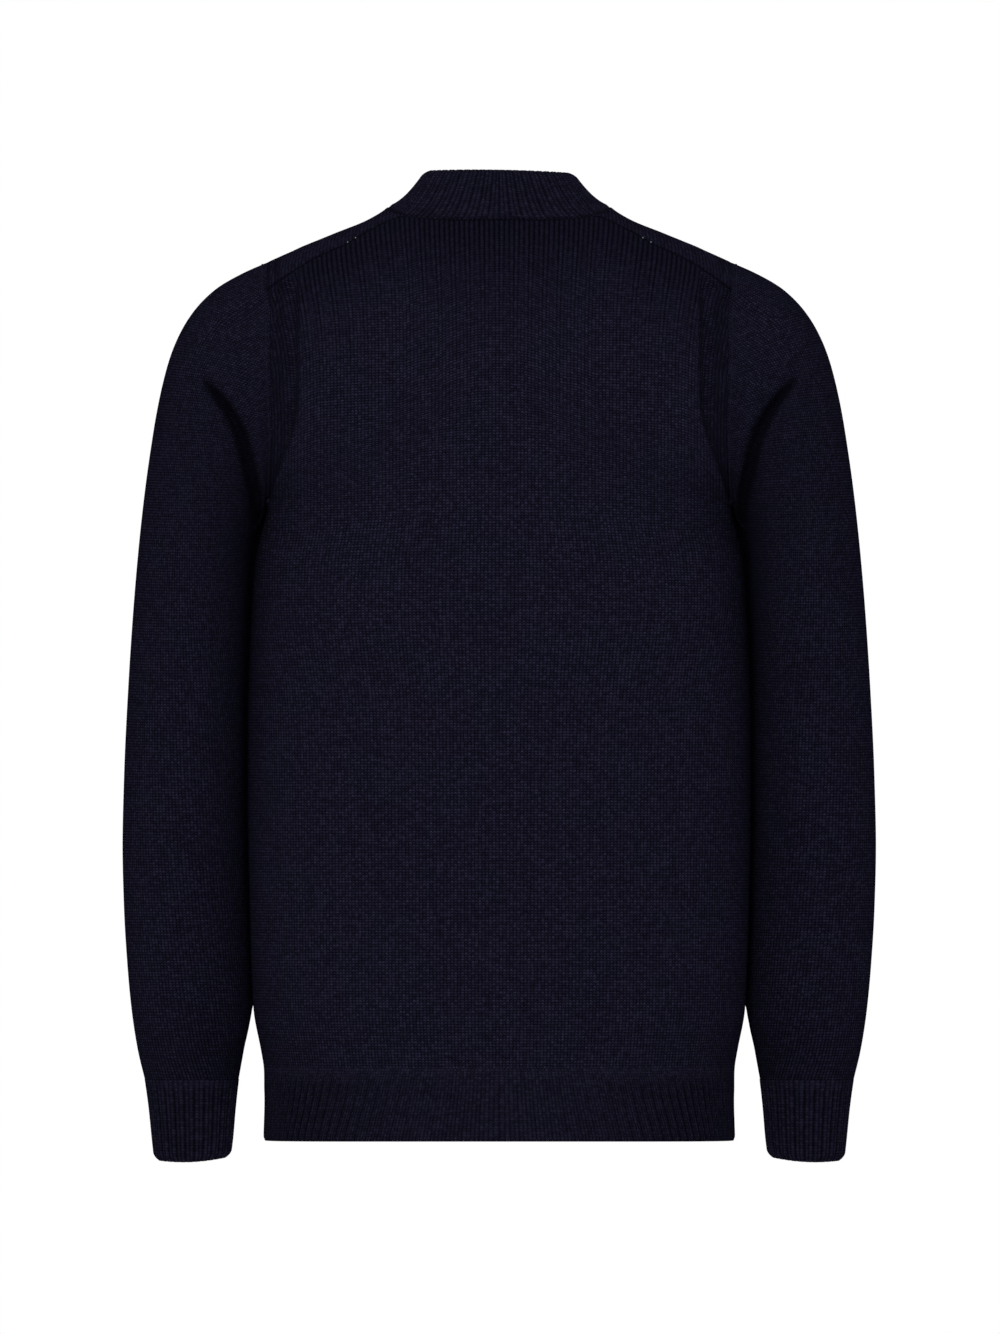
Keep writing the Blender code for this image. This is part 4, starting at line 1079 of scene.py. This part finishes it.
places = rib_places(COLLAR_RIBS)
all_turns = np.linspace(0, 360, NECK_STEPS)
neck_run = arcs(neck_points(all_turns)[None], 1)[0]
collar_turns = np.interp(neck_run[-1] * places / COLLAR_RIBS, neck_run, all_turns)
base = neck_points(collar_turns)
angles = np.radians(collar_turns)
across, away = rounded(np.sin(angles), RIM_ROUNDNESS), rounded(np.cos(angles), RIM_ROUNDNESS)
fall = ease((RIM_LEVEL - away) / (RIM_LEVEL + 1)) ** RIM_FALL
rim_y = away * np.where(away > 0, RIM_BACK, RIM_FRONT)
rim_z = RIM_BACK_HEIGHT + fall * (RIM_FRONT_HEIGHT - RIM_BACK_HEIGHT) + RIM_TILT * across * RIM_HALF_WIDTH
rim = np.stack([across * RIM_HALF_WIDTH, rim_y, rim_z], axis=-1)
shares = np.linspace(0, 1, COLLAR_ROWS)[:, None, None]
collar = base + shares ** np.array([COLLAR_FLARE, COLLAR_FLARE, 1.0]) * (rim - base)
collar_centres = collar.mean(axis=1) * (0.0, 0.0, 1.0)
collar_skin, collar_run, collar_shade = ribbed(
    collar, collar_centres, places, 0, COLLAR_RIB_CLIMB, COLLAR_VALLEY_SHADE, RIM_ROLL, RIM_ROLL_REACH
)
# painted shade along the seam at the neckline, over that of the valleys
collar_shade = np.maximum(collar_shade, near(collar_run))
collar_skin -= SEAM_DEPTH * near(collar_run)[..., None] * form_normals(base)
wales = WALES_A_RIB * places
collar_knit = lay_cloth("collar_knit", collar_skin, wales, collar_run / COURSE, RIB_DRAWN, collar_shade, closed=True)
dress(collar_knit, collar_centres, "collar_rib", "rib_knit")

# %% [markdown]
# ## Linking stitches
# The pieces are joined stitch by stitch on a linking machine, which leaves a row of tiny loops along each seam. They
# catch the light as a fine beaded line. One small flattened ball for each loop is enough, turned along the seam. The
# loops round the armholes are lighter than those of the collar and the shoulders, which lie deeper and are painted
# with shade, in darker copies of the same yarn. Two pale stitches catch each shoulder seam down near the armhole.

# %% A row of loops along a line
def linking(name, line, normals, pitch, size, yarn):
    """Loops along a line on the cloth. Their size is half the length, width and height of one loop."""
    run = arcs(line[None], 1)[0]
    count = int(run[-1] / pitch)
    both = even_along(np.concatenate([line, normals], axis=1), count + 1)
    spots, outs = both[:, :3], unit(both[:, 3:])
    ways = unit(np.gradient(spots, axis=0))
    bm = bmesh.new()
    for spot, out, way in zip(spots, outs, ways):
        axes = np.stack([way * size[0], np.cross(out, way) * size[1], out * size[2], spot], axis=-1)
        matrix = Matrix([*axes.tolist(), (0.0, 0.0, 0.0, 1.0)])
        bmesh.ops.create_icosphere(bm, subdivisions=1, radius=1.0, matrix=matrix)
    bmesh.ops.recalc_face_normals(bm, faces=bm.faces)
    row = add_mesh(name, bm)
    row.data.shade_smooth()
    row.data.materials.append(yarn)
    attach(row, "root")
    print(name, "has", count + 1, "loops")


def yarn_material(name, dark, light):
    material, shader = add_material(name, {"Roughness": 0.9, "Specular IOR Level": 0.0})
    tree = material.node_tree
    feed(tree, shader, {"Base Color": blended(tree, noise(tree, YARN_SCALE), dark, light)})
    return material


light_yarn = yarn_material("light_yarn", (0.0030, 0.0032, 0.0070), (0.0120, 0.0115, 0.0230))
# painted shade: darker copies of the same yarn, the darkest for the shoulder loops and the middle one for the
# collar's
deep_shaded_yarn = yarn_material("deep_shaded_yarn", (0.0008, 0.0008, 0.0020), (0.0042, 0.0040, 0.0085))
half_shaded_yarn = yarn_material("half_shaded_yarn", (0.0018, 0.0018, 0.0042), (0.0082, 0.0078, 0.0160))
pale_yarn = yarn_material("pale_yarn", (0.10, 0.10, 0.12), (0.20, 0.20, 0.23))
LOOP, CATCH = (0.0009, 0.0007, 0.0006), (0.0005, 0.0005, 0.0007)
SHOULDER_PITCH, COLLAR_PITCH, CATCH_PITCH = 0.0032, 0.0033, 0.005
ARMHOLE_LINKS_AWAY = 0.0026  # from the armhole to its row of loops, along the sleeve
caught = shoulder_points(np.array([0.1075, 0.1134]))
links_row = int(np.argmin(np.abs(run[:, SLEEVE_COLUMNS // 4] - ARMHOLE_LINKS_AWAY)))
on_seam = slice((len(BACK_NECK_RIBS) - 1) * COLUMNS_A_LINE, None)
ROWS_OF_LOOPS = (
    # name, line, normals, pitch, size, yarn
    ("armhole_links", sleeve_skin[links_row], sleeve_normals[links_row], COURSE, LOOP, light_yarn),
    ("shoulder_links", back_sunk[-1, on_seam], back_normals[-1, on_seam], SHOULDER_PITCH, LOOP, deep_shaded_yarn),
    ("catch_stitches", caught, form_normals(caught), CATCH_PITCH, CATCH, pale_yarn),
)
for side, flip in SIDES:
    for name, line, normals, pitch, size, yarn in ROWS_OF_LOOPS:
        linking(f"{name}_{side}", line * flip, normals * flip, pitch, size, yarn)
collar_outs = ring_normals(collar, collar_centres)[0]
linking("collar_links", collar_skin[0], collar_outs, COLLAR_PITCH, LOOP, half_shaded_yarn)
